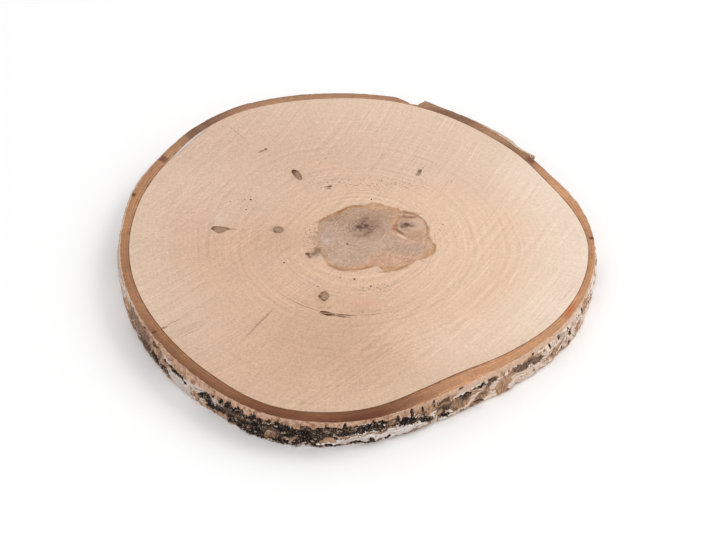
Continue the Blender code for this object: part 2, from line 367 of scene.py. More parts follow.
# Darker ends, corners and halos of those, and smaller marks, in the terms of the heart's shades.
KNOT_MARKS = (
    (-59, 15, 5.6, 5.0, 0, 0.6, 0.40, (166, 134, 112)),
    (-24, -56.5, 5.4, 7.0, 0, 0.5, 0.35, (168, 132, 104)),
    (-46, 78, 8.2, 4.2, -52, 0.4, 0.30, (166, 138, 118)),
    (-91, 15.6, 3.0, 0.9, 0, 0.6, 0.5, (150, 118, 96)),
    (-70.4, 108.2, 1.2, 1.3, 0, 0.4, 0.85, (92, 66, 50)),
    (-73.6, 106.2, 3.0, 1.2, 36, 0.5, 0.7, (122, 94, 76)),
    (48.4, 82.0, 1.5, 1.8, 0, 0.4, 0.85, (90, 66, 50)),
    (47.0, 79.2, 1.8, 2.8, -30, 0.5, 0.7, (124, 98, 80)),
    (50.6, 85.8, 0.7, 1.8, -30, 0.5, 0.3, (150, 120, 98)),
    (-21.0, 64.2, 2.2, 1.1, 0, 0.4, 0.85, (88, 66, 50)),
    (-21.0, 61.8, 1.8, 1.2, 0, 0.5, 0.55, (124, 98, 78)),
    (-24.0, 63.6, 1.4, 0.9, 0, 0.5, 0.45, (140, 112, 92)),
    (-27.0, 62.6, 0.6, 1.2, 0, 0.5, 0.5, (128, 102, 84)),
    (-33.0, -12.6, 4.0, 3.6, 30, 0.7, 0.45, (146, 114, 92)),
    (-36.0, -11.2, 1.4, 1.4, 0, 0.5, 0.9, (76, 52, 40)),
    (-34.6, -14.4, 2.2, 1.2, -50, 0.6, 0.75, (100, 74, 58)),
    (-31.0, -10.6, 1.8, 1.0, 40, 0.5, 0.6, (120, 92, 72)),
    (-11.5, -76.8, 6.5, 0.9, -10, 0.5, 0.8, (116, 80, 60)),
    (-24, -67.6, 4.0, 0.8, 25, 0.6, 0.35, (146, 104, 78)),
    (-19.5, -68.4, 1.6, 0.8, 30, 0.6, 0.45, (130, 92, 70)),
    (-102, 28, 4, 8, 0, 0.8, 0.35, (216, 200, 190)),
    (-69, -84, 17, 1.2, 57, 0.7, 0.35, (152, 122, 104)),
    (-119, -91, 12, 1.3, 31, 0.8, 0.22, (158, 130, 112)),
    (-137, -89, 3.5, 1.0, 25, 0.5, 0.7, (126, 104, 88)),
    (-119, -87, 14, 1.2, 29, 0.8, 0.25, (160, 130, 110)),
    # A thin grey line of painted shade stands in for a hairline gap by the bark, with the pale sliver of wood beside
    # it.
    (-129, 117, 27, 0.9, 56, 0.6, 0.65, (160, 150, 146)),
    (-132, 117, 30, 2.2, 56, 0.6, 0.70, (214, 206, 200)),
)
# Shades in their beds, in the same terms.
KNOT_BEDS = (
    (-102, 15.5, 6.0, 3.0, -5, 0.5, 0.75, (160, 128, 106)),
    (-107, 16.5, 2.0, 2.4, 0, 0.6, 0.6, (100, 74, 58)),
    (-48.7, 82.2, 2.4, 2.4, -50, 0.8, 0.85, (82, 58, 44)),
    (-44.5, 75.5, 4.2, 2.8, -50, 0.6, 0.5, (160, 126, 104)),
    (-47.4, 79.0, 3.6, 1.0, -52, 0.5, 0.5, (104, 78, 62)),
    (-22.2, -54.9, 3.0, 4.0, 0, 0.8, 0.7, (166, 136, 106)),
    (-27.0, -56.4, 1.5, 1.5, 0, 0.8, 0.75, (92, 66, 50)),
    (-23.2, -60.8, 2.8, 1.4, -20, 0.6, 0.75, (92, 66, 50)),
    (-22.0, -73.4, 4.4, 0.6, -14, 0.5, 0.7, (172, 134, 104)),
    (-19.6, -75.2, 5.2, 1.1, -8, 0.5, 0.98, (68, 42, 30)),
    (-23.0, -72.0, 5.4, 0.8, -4, 0.5, 0.9, (84, 54, 40)),
    (-61.2, 13.2, 1.4, 1.8, 0, 0.5, 0.7, (96, 72, 56)),
    (-57.0, 11.8, 1.3, 1.0, 0, 0.5, 0.7, (96, 72, 56)),
    (-58.0, 15.5, 3.6, 2.4, 0, 0.7, 0.6, (168, 138, 114)),
)
# Worm-eaten dots, in millimetres: (x, y, radius).
DOTS = (
    (-1.7, -38.4, 0.9),
    (-12, -37, 0.5),
    (10, -46, 0.7),
    (12, -50, 0.4),
    (-80, 49, 0.8),
    (-83, 37.5, 0.6),
    (-95, 47, 0.4),
    (-80, 60, 0.4),
    (10.9, 49, 0.7),
    (0, 52, 0.4),
    (64, 20.8, 0.5),
    (-28, -46, 0.5),
    (72, 70, 0.4),
    (-53, -21, 0.7),
    (-30, 95, 0.4),
    (-24, 97, 0.4),
)
# Cracks in the top, in millimetres: an arc between two years' rings, as (start, end, width), and the drying checks.
SHAKE_CENTRE = (0.0, 2.0)
SHAKE_RADIUS = 78.0
SHAKES = (
    (222, 252, 0.30),
    (257.0, 270, 0.85),
    (271, 288, 0.22),
)
CHECKS = (
    ((-78, -98), (-70, -85), (-64, -77), (-60, -70)),
    ((-139, -90), (-135, -87.5), (-130, -83), (-122, -78)),
    ((-124, -99), (-118, -94), (-110, -90)),
    ((-100, 136), (-93, 128), (-87, 120)),
)
CHECK_WIDTH = 0.30
CRACK_DEPTH = 0.9


def srgb(red, green, blue):
    """A linear colour from screen values of 0 to 255."""
    linear = [c / 12.92 if c <= 0.04045 else ((c + 0.055) / 1.055) ** 2.4 for c in (red / 255, green / 255, blue / 255)]
    return (*linear, 1.0)


# Curves, outlines and noise on arrays of points

def around(points, azimuth):
    """The values at these azimuths on a smooth closed curve through (azimuth, value) points."""
    angles, values = np.array(points, float).T
    angles = np.concatenate((angles[-2:] - 360, angles, angles[:2] + 360))
    values = np.concatenate((values[-2:], values, values[:2]))
    slopes = (values[2:] - values[:-2]) / (angles[2:] - angles[:-2])
    start = np.searchsorted(angles, azimuth, side="right") - 1
    span = angles[start + 1] - angles[start]
    t = (azimuth - angles[start]) / span
    rise = values[start + 1] - values[start]
    bend = t * (t - 1) * span * ((t - 1) * slopes[start - 1] + t * slopes[start])
    return values[start] + rise * t * t * (3 - 2 * t) + bend


def straight(points, at, outside=None):
    """The values on straight lines between the points, and one value outside them where it is given."""
    places, values = np.array(points, float).T
    return np.interp(at, places, values, left=outside, right=outside)


def smooth_step(low, high, values):
    t = np.clip((values - low) / (high - low), 0, 1)
    return t * t * (3 - 2 * t)


def noise_at(points, size):
    """Blender's noise, from -1 to 1, at each point, with lumps of this size (one number, or one an axis)."""
    return np.array([noise.noise(Vector(point)) for point in points / np.array(size)])


def distance_inside(outline, points):
    """How far inside a closed outline each (x, y) point lies, in the outline's units; negative outside."""
    corners = np.array(outline, float)
    nearest = np.full(len(points), np.inf)
    inside = np.zeros(len(points), bool)
    for start, end in zip(corners, np.roll(corners, -1, axis=0)):
        edge = end - start
        along = np.clip(((points - start) @ edge) / (edge @ edge), 0, 1)
        nearest = np.minimum(nearest, np.linalg.norm(points - start - along[:, None] * edge, axis=1))
        crosses = (start[1] > points[:, 1]) != (end[1] > points[:, 1])
        reach = start[0] + (points[:, 1] - start[1]) * edge[0] / (edge[1] or 1e-9)
        inside ^= crosses & (points[:, 0] < reach)
    return np.where(inside, nearest, -nearest)


# Modelling helpers

def deselect_all():
    bpy.ops.object.select_all(action="DESELECT")


def select_only(obj):
    deselect_all()
    obj.select_set(True)
    bpy.context.view_layer.objects.active = obj


def edit_only(obj):
    select_only(obj)
    bpy.ops.object.mode_set(mode="EDIT")
    bpy.ops.mesh.select_all(action="SELECT")


def close_up(obj):
    """Joins points that lie on each other, and turns all faces outwards."""
    edit_only(obj)
    bpy.ops.mesh.remove_doubles(threshold=0.00001)
    bpy.ops.mesh.normals_make_consistent(inside=False)
    bpy.ops.object.mode_set(mode="OBJECT")


def points_of(mesh):
    flat = np.empty(len(mesh.vertices) * 3)
    mesh.vertices.foreach_get("co", flat)
    return flat.reshape(-1, 3)


def move_points(mesh, points):
    mesh.vertices.foreach_set("co", np.ascontiguousarray(points, np.float32).ravel())
    mesh.update()


def paint(mesh, name, values):
    """Keeps one number for each vertex, for the material to read."""
    attribute = mesh.attributes.new(name, "FLOAT", "POINT")
    attribute.data.foreach_set("value", np.ascontiguousarray(values, np.float32))


def polar(points):
    """Distance from the trunk's axis and azimuth of each point."""
    azimuth = np.degrees(np.arctan2(points[:, 1], points[:, 0])) % 360
    return np.hypot(points[:, 0], points[:, 1]), azimuth


def placed(radius, azimuth, height):
    """Points at these distances and azimuths, measured from the part's own middle."""
    turn = np.radians(azimuth)
    return np.column_stack((radius * np.cos(turn), radius * np.sin(turn), height)) - np.array(MIDDLE)


def within_box(points):
    """The points, held inside the part's own box."""
    return np.clip(points, cad_box[0], cad_box[1])


def tool(obj):
    """Marks a cutter that is used up by a modifier."""
    obj.hide_render = True
    return obj


def cut(piece, cutters):
    """Cuts the joined cutters from the piece, which takes their dark finish in the hollows."""
    deselect_all()
    for cutter in cutters:
        cutter.select_set(True)
    bpy.context.view_layer.objects.active = cutters[0]
    if len(cutters) > 1:
        bpy.ops.object.join()
    cutter = cutters[0]
    boolean = piece.modifiers.new("Cut", "BOOLEAN")
    boolean.operation = "DIFFERENCE"
    boolean.material_mode = "TRANSFER"
    boolean.object = cutter
    select_only(piece)
    bpy.ops.object.modifier_apply(modifier="Cut")
    bpy.data.objects.remove(cutter, do_unlink=True)


# Node helpers

def add(tree, kind, inputs=None, **settings):
    """Adds a shader node, sets its options, and fills its inputs with values or other nodes' sockets."""
    made = tree.nodes.new("ShaderNode" + kind)
    for name, value in settings.items():
        setattr(made, name, value)
    for name, value in (inputs or {}).items():
        fill(tree, made.inputs[name], value)
    return made


def fill(tree, socket, value):
    if isinstance(value, bpy.types.NodeSocket):
        tree.links.new(value, socket)
    else:
        socket.default_value = value


def calc(tree, operation, first, second=0.0, third=0.0, clamp=False):
    made = add(tree, "Math", {0: first, 1: second, 2: third}, operation=operation, use_clamp=clamp)
    return made.outputs[0]


def blend(tree, share, first, second, mode="MIX"):
    """One colour over another."""
    made = add(tree, "Mix", data_type="RGBA", blend_type=mode)
    fill(tree, made.inputs["Factor"], share)
    fill(tree, made.inputs[6], first)
    fill(tree, made.inputs[7], second)
    return made.outputs[2]


def between(tree, value, low, high, to_low=0.0, to_high=1.0):
    """A smooth step of the value from low to high."""
    numbers = {"Value": value, "From Min": low, "From Max": high, "To Min": to_low, "To Max": to_high}
    return add(tree, "MapRange", numbers, interpolation_type="SMOOTHSTEP").outputs["Result"]


def grain(tree, vector, scale, detail=2.0, roughness=0.5, dimensions="3D"):
    """Noise from 0 to 1."""
    place = {"W": vector} if dimensions == "1D" else {"Vector": vector}
    numbers = {**place, "Scale": scale, "Detail": detail, "Roughness": roughness}
    return add(tree, "TexNoise", numbers, noise_dimensions=dimensions).outputs["Fac"]


def stretched(tree, vector, scale):
    return add(tree, "Mapping", {"Vector": vector, "Scale": scale}).outputs["Vector"]


def vary(tree, base, noise, amount):
    """Moves a value up and down about itself by a noise of 0 to 1."""
    return calc(tree, "MULTIPLY_ADD", calc(tree, "SUBTRACT", noise, 0.5), amount, base)


def attribute(tree, name):
    return add(tree, "Attribute", attribute_name=name, attribute_type="GEOMETRY").outputs["Fac"]


def position(tree):
    return add(tree, "TexCoord").outputs["Object"]


def new_group(name, inputs, outputs):
    """An empty shader group with these (name, socket type) inputs and outputs."""
    group = bpy.data.node_groups.new(name, "ShaderNodeTree")
    for socket_name, kind in inputs:
        group.interface.new_socket(socket_name, in_out="INPUT", socket_type="NodeSocket" + kind)
    for socket_name, kind in outputs:
        group.interface.new_socket(socket_name, in_out="OUTPUT", socket_type="NodeSocket" + kind)
    return group, group.nodes.new("NodeGroupInput"), group.nodes.new("NodeGroupOutput")


def use(tree, group, inputs):
    made = tree.nodes.new("ShaderNodeGroup")
    made.node_tree = group
    for name, value in inputs.items():
        fill(tree, made.inputs[name], value)
    return made


def new_material(name, roughness=0.7, specular=0.3):
    """A material with its Principled shader, whose even values are set on the shader itself."""
    material = bpy.data.materials.new(name)
    material.use_nodes = True
    shader = material.node_tree.nodes["Principled BSDF"]
    shader.inputs["Roughness"].default_value = roughness
    shader.inputs["Specular IOR Level"].default_value = specular
    return material, material.node_tree, shader


# Shared effects

SAW_CENTRE = (-0.470, 0.350, 0.0)
YEAR = 0.0027  # how wide a yearly ring is, on the average
RAY_PITCH = 110.0  # how many rays go to a radian
RAY_LENGTH = 28.0


def make_saw_marks():
    """Arcs that the saw left across the face, broken here and there: broad bands and fine lines, about zero. Where they
    lighten and darken a colour, they are painted light and shade of the saw's ridges.
    """
    group, given, result = new_group(
        "Saw marks", [("Position", "Vector")], [("Bands", "Float"), ("Lines", "Float")]
    )
    place = given.outputs["Position"]
    wobble = grain(group, place, 22.0, 1.0)
    from_centre = add(group, "VectorMath", {0: place, 1: SAW_CENTRE}, operation="DISTANCE")
    reach = calc(group, "MULTIPLY_ADD", wobble, 0.0035, from_centre.outputs["Value"])
    kept = between(group, grain(group, place, 34.0, 3.0, 0.65), 0.36, 0.62)
    for name, scale in (("Bands", 240.0), ("Lines", 620.0)):
        wave = calc(group, "SUBTRACT", grain(group, reach, scale, 2.0, 0.55, "1D"), 0.5)
        fill(group, result.inputs[name], calc(group, "MULTIPLY", wave, kept))
    return group


def make_growth_rings():
    """Yearly rings from the wood's age: a change of tone about zero, and the thin late wood that ends a year."""
    group, given, result = new_group(
        "Growth rings", [("Age", "Float"), ("Position", "Vector")], [("Tone", "Float"), ("Late wood", "Float")]
    )
    wobble = grain(group, given.outputs["Position"], 45.0, 2.0)
    age = calc(group, "MULTIPLY_ADD", wobble, 0.0040, given.outputs["Age"])
    kept = between(group, grain(group, given.outputs["Position"], 26.0, 3.0, 0.6), 0.36, 0.62, 0.15, 1.0)
    tone = calc(group, "SUBTRACT", grain(group, age, 300.0, 3.0, 0.65, "1D"), 0.5)
    fill(group, result.inputs["Tone"], calc(group, "MULTIPLY", tone, kept))
    years = calc(group, "FRACT", calc(group, "MULTIPLY", age, 1 / YEAR))
    line = between(group, years, 0.62, 0.95)
    uneven = between(group, grain(group, age, 75.0, 1.0, 0.5, "1D"), 0.35, 0.65)
    broken = between(group, grain(group, given.outputs["Position"], 90.0, 3.0, 0.6), 0.35, 0.62)
    fill(group, result.inputs["Late wood"], calc(group, "MULTIPLY", line, calc(group, "MULTIPLY", uneven, broken)))
    return group


def make_rays():
    """Fine streaks from the pith outwards, about zero."""
    group, given, result = new_group("Rays", [("Position", "Vector")], [("Rays", "Float")])
    from_pith = add(group, "VectorMath", {0: given.outputs["Position"], 1: (*PITH, 0.0)}, operation="SUBTRACT")
    flat = add(group, "VectorMath", {0: from_pith.outputs["Vector"], 1: (1, 1, 0)}, operation="MULTIPLY")
    reach = add(group, "VectorMath", {0: flat.outputs["Vector"]}, operation="LENGTH").outputs["Value"]
    heading = add(group, "VectorMath", {0: flat.outputs["Vector"]}, operation="NORMALIZE").outputs["Vector"]
    turned = add(group, "VectorMath", {0: heading, "Scale": RAY_PITCH}, operation="SCALE").outputs["Vector"]
    parts = add(group, "SeparateXYZ", {"Vector": turned})
    along = calc(group, "MULTIPLY", reach, RAY_LENGTH)
    path = add(group, "CombineXYZ", {"X": parts.outputs["X"], "Y": parts.outputs["Y"], "Z": along})
    streak = grain(group, path.outputs["Vector"], 1.0, 2.0, 0.6)
    fill(group, result.inputs["Rays"], calc(group, "SUBTRACT", streak, 0.5))
    return group


def make_mottle():
    """Blotches, a finer grain, and the small pores of the cut fibres."""
    group, given, result = new_group(
        "Mottle", [("Position", "Vector")], [("Blotches", "Float"), ("Grain", "Float"), ("Pores", "Float")]
    )
    place = given.outputs["Position"]
    fill(group, result.inputs["Blotches"], grain(group, place, 60.0, 4.0, 0.6))
    fill(group, result.inputs["Grain"], grain(group, place, 480.0, 2.0, 0.6))
    fill(group, result.inputs["Pores"], grain(group, place, 1100.0, 2.0, 0.6))
    return group


def make_spot():
    """An elliptical mark. Its ragged edge comes from a noise about zero, and softness says how wide it fades.

    Along and Across point down its length and width, and are as long as one over half of each.
    """
    names = [
        ("Position", "Vector"), ("Place", "Vector"), ("Along", "Vector"), ("Across", "Vector"),
        ("Ragged", "Float"), ("Softness", "Float"), ("Strength", "Float"),
    ]
    group, given, result = new_group("Spot", names, [("Mask", "Float")])
    sides = {0: given.outputs["Position"], 1: given.outputs["Place"]}
    offset = add(group, "VectorMath", sides, operation="SUBTRACT").outputs["Vector"]
    squares = 0.0
    for axis in ("Along", "Across"):
        reach = add(group, "VectorMath", {0: offset, 1: given.outputs[axis]}, operation="DOT_PRODUCT").outputs["Value"]
        squares = calc(group, "MULTIPLY_ADD", reach, reach, squares)
    reach = calc(group, "MULTIPLY_ADD", given.outputs["Ragged"], 1.3, calc(group, "SQRT", squares))
    start = calc(group, "SUBTRACT", 1.0, given.outputs["Softness"])
    end = calc(group, "ADD", 1.0, given.outputs["Softness"])
    inside = between(group, reach, start, end, 1.0, 0.0)
    fill(group, result.inputs["Mask"], calc(group, "MULTIPLY", inside, given.outputs["Strength"]))
    return group


SAW_MARKS = make_saw_marks()
GROWTH_RINGS = make_growth_rings()
RAYS = make_rays()
MOTTLE = make_mottle()
SPOT = make_spot()


def blend_spots(tree, where, ragged, spots, colour, within=1.0):
    """Lays tinted spots over a colour, one after another: places and sizes in millimetres, angles in degrees.

    Where within is given, the spots show through that mask alone.
    """
    for x, y, half_length, half_width, angle, softness, strength, tint in spots:
        turn = math.radians(angle)
        inputs = {
            "Position": where,
            "Place": (x * MM, y * MM, 0.0),
            "Along": Vector((math.cos(turn), math.sin(turn), 0.0)) / (half_length * MM),
            "Across": Vector((-math.sin(turn), math.cos(turn), 0.0)) / (half_width * MM),
            "Ragged": ragged,
            "Softness": softness,
            "Strength": strength,
        }
        mask = calc(tree, "MULTIPLY", use(tree, SPOT, inputs).outputs["Mask"], within)
        colour = blend(tree, mask, colour, srgb(*tint))
    return colour


# Materials

def sawn_wood():
    """Pale end grain, with the grey and ochre stain of the heart, its two piths and the marks of dead branches."""
    material, tree, shader = new_material("sawn birch wood", roughness=0.62, specular=0.25)
    where = position(tree)
    age = attribute(tree, "age")
    marks = use(tree, SAW_MARKS, {"Position": where})
    rings = use(tree, GROWTH_RINGS, {"Age": age, "Position": where})
    rays = use(tree, RAYS, {"Position": where})
    mottle = use(tree, MOTTLE, {"Position": where})
    ragged = calc(tree, "SUBTRACT", grain(tree, where, 420.0, 2.0), 0.5)

    colour = sapwood(tree, where, age, mottle)
    # The sapwood's broad tints, among them painted shade in front.
    colour = blend_spots(tree, where, ragged, WOOD_SHADES, colour)
    colour = stained_heart(tree, where, ragged, rings.outputs["Late wood"], colour)
    colour = blend_spots(tree, where, ragged, KNOT_MARKS, colour)
    specks = between(tree, grain(tree, where, 560.0, 2.0, 0.75), 0.57, 0.63)
    colour = blend_spots(tree, where, ragged, SPECKLED, colour, specks)

    ring_share = between(tree, age, 0.095, 0.130, 1.0, 0.45)
    ring_share = calc(tree, "MULTIPLY", ring_share, between(tree, attribute(tree, "heart"), -2.0, 3.0, 1.0, 0.45))
    # The saw's arcs as lighter and darker bands and lines: painted light and shade of its ridges, besides their bump
    # below.
    tone = calc(tree, "MULTIPLY_ADD", marks.outputs["Bands"], 0.27, 1.0)
    tone = calc(tree, "MULTIPLY_ADD", marks.outputs["Lines"], 0.26, tone)
    tone = calc(tree, "MULTIPLY_ADD", rays.outputs["Rays"], 0.16, tone)
    tone = calc(tree, "MULTIPLY_ADD", calc(tree, "MULTIPLY", rings.outputs["Tone"], ring_share), 0.46, tone)
    tone = calc(tree, "MULTIPLY_ADD", calc(tree, "MULTIPLY", rings.outputs["Late wood"], ring_share), -0.10, tone)
    tone = vary(tree, tone, mottle.outputs["Blotches"], 0.16)
    tone = vary(tree, tone, mottle.outputs["Grain"], 0.34)
    smoother = between(tree, add(tree, "SeparateXYZ", {"Vector": where}).outputs["X"], 0.02, 0.12, 0.52, 0.10)
    tone = vary(tree, tone, mottle.outputs["Pores"], smoother)
    shaded = add(tree, "VectorMath", {0: colour, "Scale": tone}, operation="SCALE").outputs["Vector"]
    fill(tree, shader.inputs["Base Color"], shaded)

    height = calc(tree, "MULTIPLY_ADD", marks.outputs["Lines"], 0.5, marks.outputs["Bands"])
    height = calc(tree, "MULTIPLY_ADD", mottle.outputs["Pores"], 0.4, height)
    bump = add(tree, "Bump", {"Height": height, "Strength": 0.35, "Distance": 0.0001})
    fill(tree, shader.inputs["Normal"], bump.outputs["Normal"])
    return material


def sapwood(tree, where, age, mottle):
    """Beige to the left, paler to the right and near the bark, and a little darker in front and at the back. The paler
    right is partly painted light, partly the wood's own tone; the darker front and back are painted shade.
    """
    parts = add(tree, "SeparateXYZ", {"Vector": where})
    across = parts.outputs["X"]
    up = parts.outputs["Y"]
    # Lighter to the right: partly painted light, partly the wood's own paler tone.
    lit_and_paler_right = between(tree, calc(tree, "MULTIPLY_ADD", up, 0.35, across), -0.13, 0.12)
    colour = blend(tree, lit_and_paler_right, srgb(203, 168, 143), srgb(221, 190, 164))
    warm = between(tree, mottle.outputs["Blotches"], 0.35, 0.7, 0.0, 0.28)
    colour = blend(tree, warm, colour, srgb(211, 169, 141))
    # Darker at the back: painted shade.
    behind = between(tree, up, 0.03, 0.10, 0.0, 0.5)
    colour = blend(tree, behind, colour, srgb(202, 170, 148))
    # Darker in front: painted shade.
    front_shade = between(tree, up, -0.160, -0.060, 0.60, 0.0)
    colour = blend(tree, front_shade, colour, srgb(196, 161, 133))
    pale = blend(tree, lit_and_paler_right, srgb(210, 183, 161), srgb(225, 204, 184))
    # The pale rim fades in front and at the back, under the painted shade there.
    rim = calc(tree, "MULTIPLY", between(tree, age, 0.105, 0.160), between(tree, up, -0.130, -0.060, 0.30, 0.95))
    rim = calc(tree, "MULTIPLY", rim, between(tree, up, 0.070, 0.125, 1.0, 0.35))
    return blend(tree, rim, colour, pale)


def stained_heart(tree, where, ragged, arcs, colour):
    """Ochre inside the heart's outline, the peppered grey wood in it, its uneven brown edge, the eye, the piths."""
    wavy = calc(tree, "SUBTRACT", grain(tree, where, 170.0, 4.0, 0.65), 0.5)
    edge = calc(tree, "MULTIPLY_ADD", wavy, 4.0, attribute(tree, "heart"))
    grey_edge = calc(tree, "MULTIPLY_ADD", wavy, 6.0, attribute(tree, "grey_wood"))
    stain = blend(tree, between(tree, grey_edge, -2.2, 3.0, 0.0, 0.95), srgb(201, 159, 131), srgb(186, 156, 136))
    stain = blend_spots(tree, where, ragged, HEART_SHADES, stain)
    streaks = grain(tree, where, 260.0, 3.0, 0.65)
    stain = blend(tree, between(tree, streaks, 0.42, 0.62, 0.0, 0.45), stain, srgb(160, 126, 102))
    stain = blend(tree, between(tree, streaks, 0.32, 0.46, 0.30, 0.0), stain, srgb(206, 180, 158))
    pepper = grain(tree, where, 760.0, 2.0, 0.7)
    stain = blend(tree, between(tree, pepper, 0.53, 0.68, 0.0, 0.48), stain, srgb(118, 90, 72))
    stain = blend(tree, between(tree, pepper, 0.30, 0.44, 0.35, 0.0), stain, srgb(212, 186, 166))
    stain = blend(tree, calc(tree, "MULTIPLY", arcs, 0.55), stain, srgb(218, 196, 178))
    colour = blend(tree, between(tree, edge, -0.5, 0.9, 0.0, 0.95), colour, stain)

    patchy = grain(tree, where, 55.0, 3.0)
    band = calc(tree, "MULTIPLY", between(tree, edge, 4.5, 1.5), between(tree, edge, -0.3, 0.8))
    leftmost = between(tree, add(tree, "SeparateXYZ", {"Vector": where}).outputs["X"], -0.031, -0.020, 0.0, 1.0)
    band = calc(tree, "MULTIPLY", calc(tree, "MULTIPLY", band, leftmost), between(tree, patchy, 0.36, 0.60, 0.2, 0.8))
    colour = blend(tree, band, colour, srgb(184, 138, 94))
    off_rim = calc(tree, "ABSOLUTE", calc(tree, "SUBTRACT", edge, 0.7))
    rim = calc(tree, "MULTIPLY", between(tree, off_rim, 0.1, 1.3, 1.0, 0.0), between(tree, patchy, 0.38, 0.60, 0.1, 0.6))
    colour = blend(tree, calc(tree, "MULTIPLY", rim, leftmost), colour, srgb(156, 112, 76))
    colour = blend_spots(tree, where, ragged, HEART_LINES, colour)

    eye = calc(tree, "MULTIPLY_ADD", wavy, 3.0, attribute(tree, "eye"))
    colour = blend(tree, between(tree, eye, -0.4, 1.0, 0.0, 0.8), colour, srgb(198, 164, 138))
    above = between(tree, add(tree, "SeparateXYZ", {"Vector": where}).outputs["Y"], 0.004, 0.014, 0.1, 0.6)
    rim = calc(tree, "MULTIPLY", between(tree, calc(tree, "ABSOLUTE", eye), 0.1, 1.1, 1.0, 0.0), above)
    colour = blend(tree, rim, colour, srgb(152, 110, 80))
    colour = blend_spots(tree, where, ragged, EYE_MARKS, colour)
    return blend_spots(tree, where, calc(tree, "MULTIPLY", ragged, 1.4), PITH_MARKS, colour)


def crack_wood():
    """The shaded wood inside cracks and pits."""
    material, tree, shader = new_material("shaded wood in cracks", roughness=0.85, specular=0.1)
    uneven = grain(tree, position(tree), 500.0, 2.0)
    fill(tree, shader.inputs["Base Color"], blend(tree, uneven, srgb(62, 42, 30), srgb(112, 84, 64)))
    return material


def knot_wood(name, dark, light):
    """The weathered wood of a dead branch end: dark in its upper left and below, grey-brown elsewhere."""
    material, tree, shader = new_material(name, roughness=0.8, specular=0.15)
    where = position(tree)
    ragged = calc(tree, "SUBTRACT", grain(tree, where, 420.0, 2.0), 0.5)
    patchy = between(tree, grain(tree, where, 480.0, 3.0, 0.65), 0.36, 0.62)
    colour = blend_spots(tree, where, ragged, KNOT_BEDS, blend(tree, patchy, srgb(*dark), srgb(*light)))
    fill(tree, shader.inputs["Base Color"], colour)
    return material


def sawn_bark():
    """The sawn edge of the bark: brown, in broken layers, dark where it meets the wood, with pale paper outside."""
    material, tree, shader = new_material("sawn birch bark", roughness=0.75, specular=0.2)
    where = position(tree)
    depth = attribute(tree, "depth")
    layers = attribute(tree, "layers")
    mottle = use(tree, MOTTLE, {"Position": where})
    marks = use(tree, SAW_MARKS, {"Position": where})
    fine = grain(tree, layers, 1300.0, 2.0, 0.6, "1D")
    broad = grain(tree, layers, 420.0, 2.0, 0.6, "1D")
    patchy = grain(tree, where, 130.0, 3.0, 0.65)
    colour = blend(tree, attribute(tree, "tone"), srgb(100, 58, 34), srgb(206, 154, 115))
    behind = between(tree, add(tree, "SeparateXYZ", {"Vector": where}).outputs["Y"], 0.05, 0.13, 0.0, 0.35)
    colour = blend(tree, behind, colour, srgb(158, 128, 106))
    colour = blend_spots(tree, where, calc(tree, "SUBTRACT", patchy, 0.5), BARK_STREAKS, colour)
    inner = vary(tree, depth, patchy, 0.25)
    colour = blend(tree, between(tree, inner, 0.0, 0.17, 0.75, 0.0), colour, srgb(96, 62, 42))
    ragged = vary(tree, vary(tree, attribute(tree, "paper"), patchy, 0.5), mottle.outputs["Grain"], 0.7)
    colour = blend(tree, between(tree, ragged, 0.40, 0.60, 0.0, 0.85), colour, srgb(206, 182, 164))
    kept = between(tree, grain(tree, where, 75.0, 3.0, 0.6), 0.36, 0.60, 0.3, 1.0)
    shade = vary(tree, 1.0, fine, calc(tree, "MULTIPLY", kept, 1.3))
    shade = vary(tree, shade, broad, calc(tree, "MULTIPLY", kept, 1.6))
    shade = vary(tree, shade, patchy, 0.6)
    shade = vary(tree, shade, mottle.outputs["Grain"], 0.40)
    shade = vary(tree, shade, mottle.outputs["Pores"], 0.60)
    # The saw's lines as lighter and darker streaks: painted light and shade of its ridges.
    shade = calc(tree, "MULTIPLY_ADD", marks.outputs["Lines"], 0.25, shade)
    shaded = add(tree, "VectorMath", {0: colour, "Scale": shade}, operation="SCALE").outputs["Vector"]
    fill(tree, shader.inputs["Base Color"], shaded)
    height = calc(tree, "MULTIPLY_ADD", fine, 1.0, mottle.outputs["Pores"])
    bump = add(tree, "Bump", {"Height": height, "Strength": 0.6, "Distance": 0.0002})
    fill(tree, shader.inputs["Normal"], bump.outputs["Normal"])
    return material


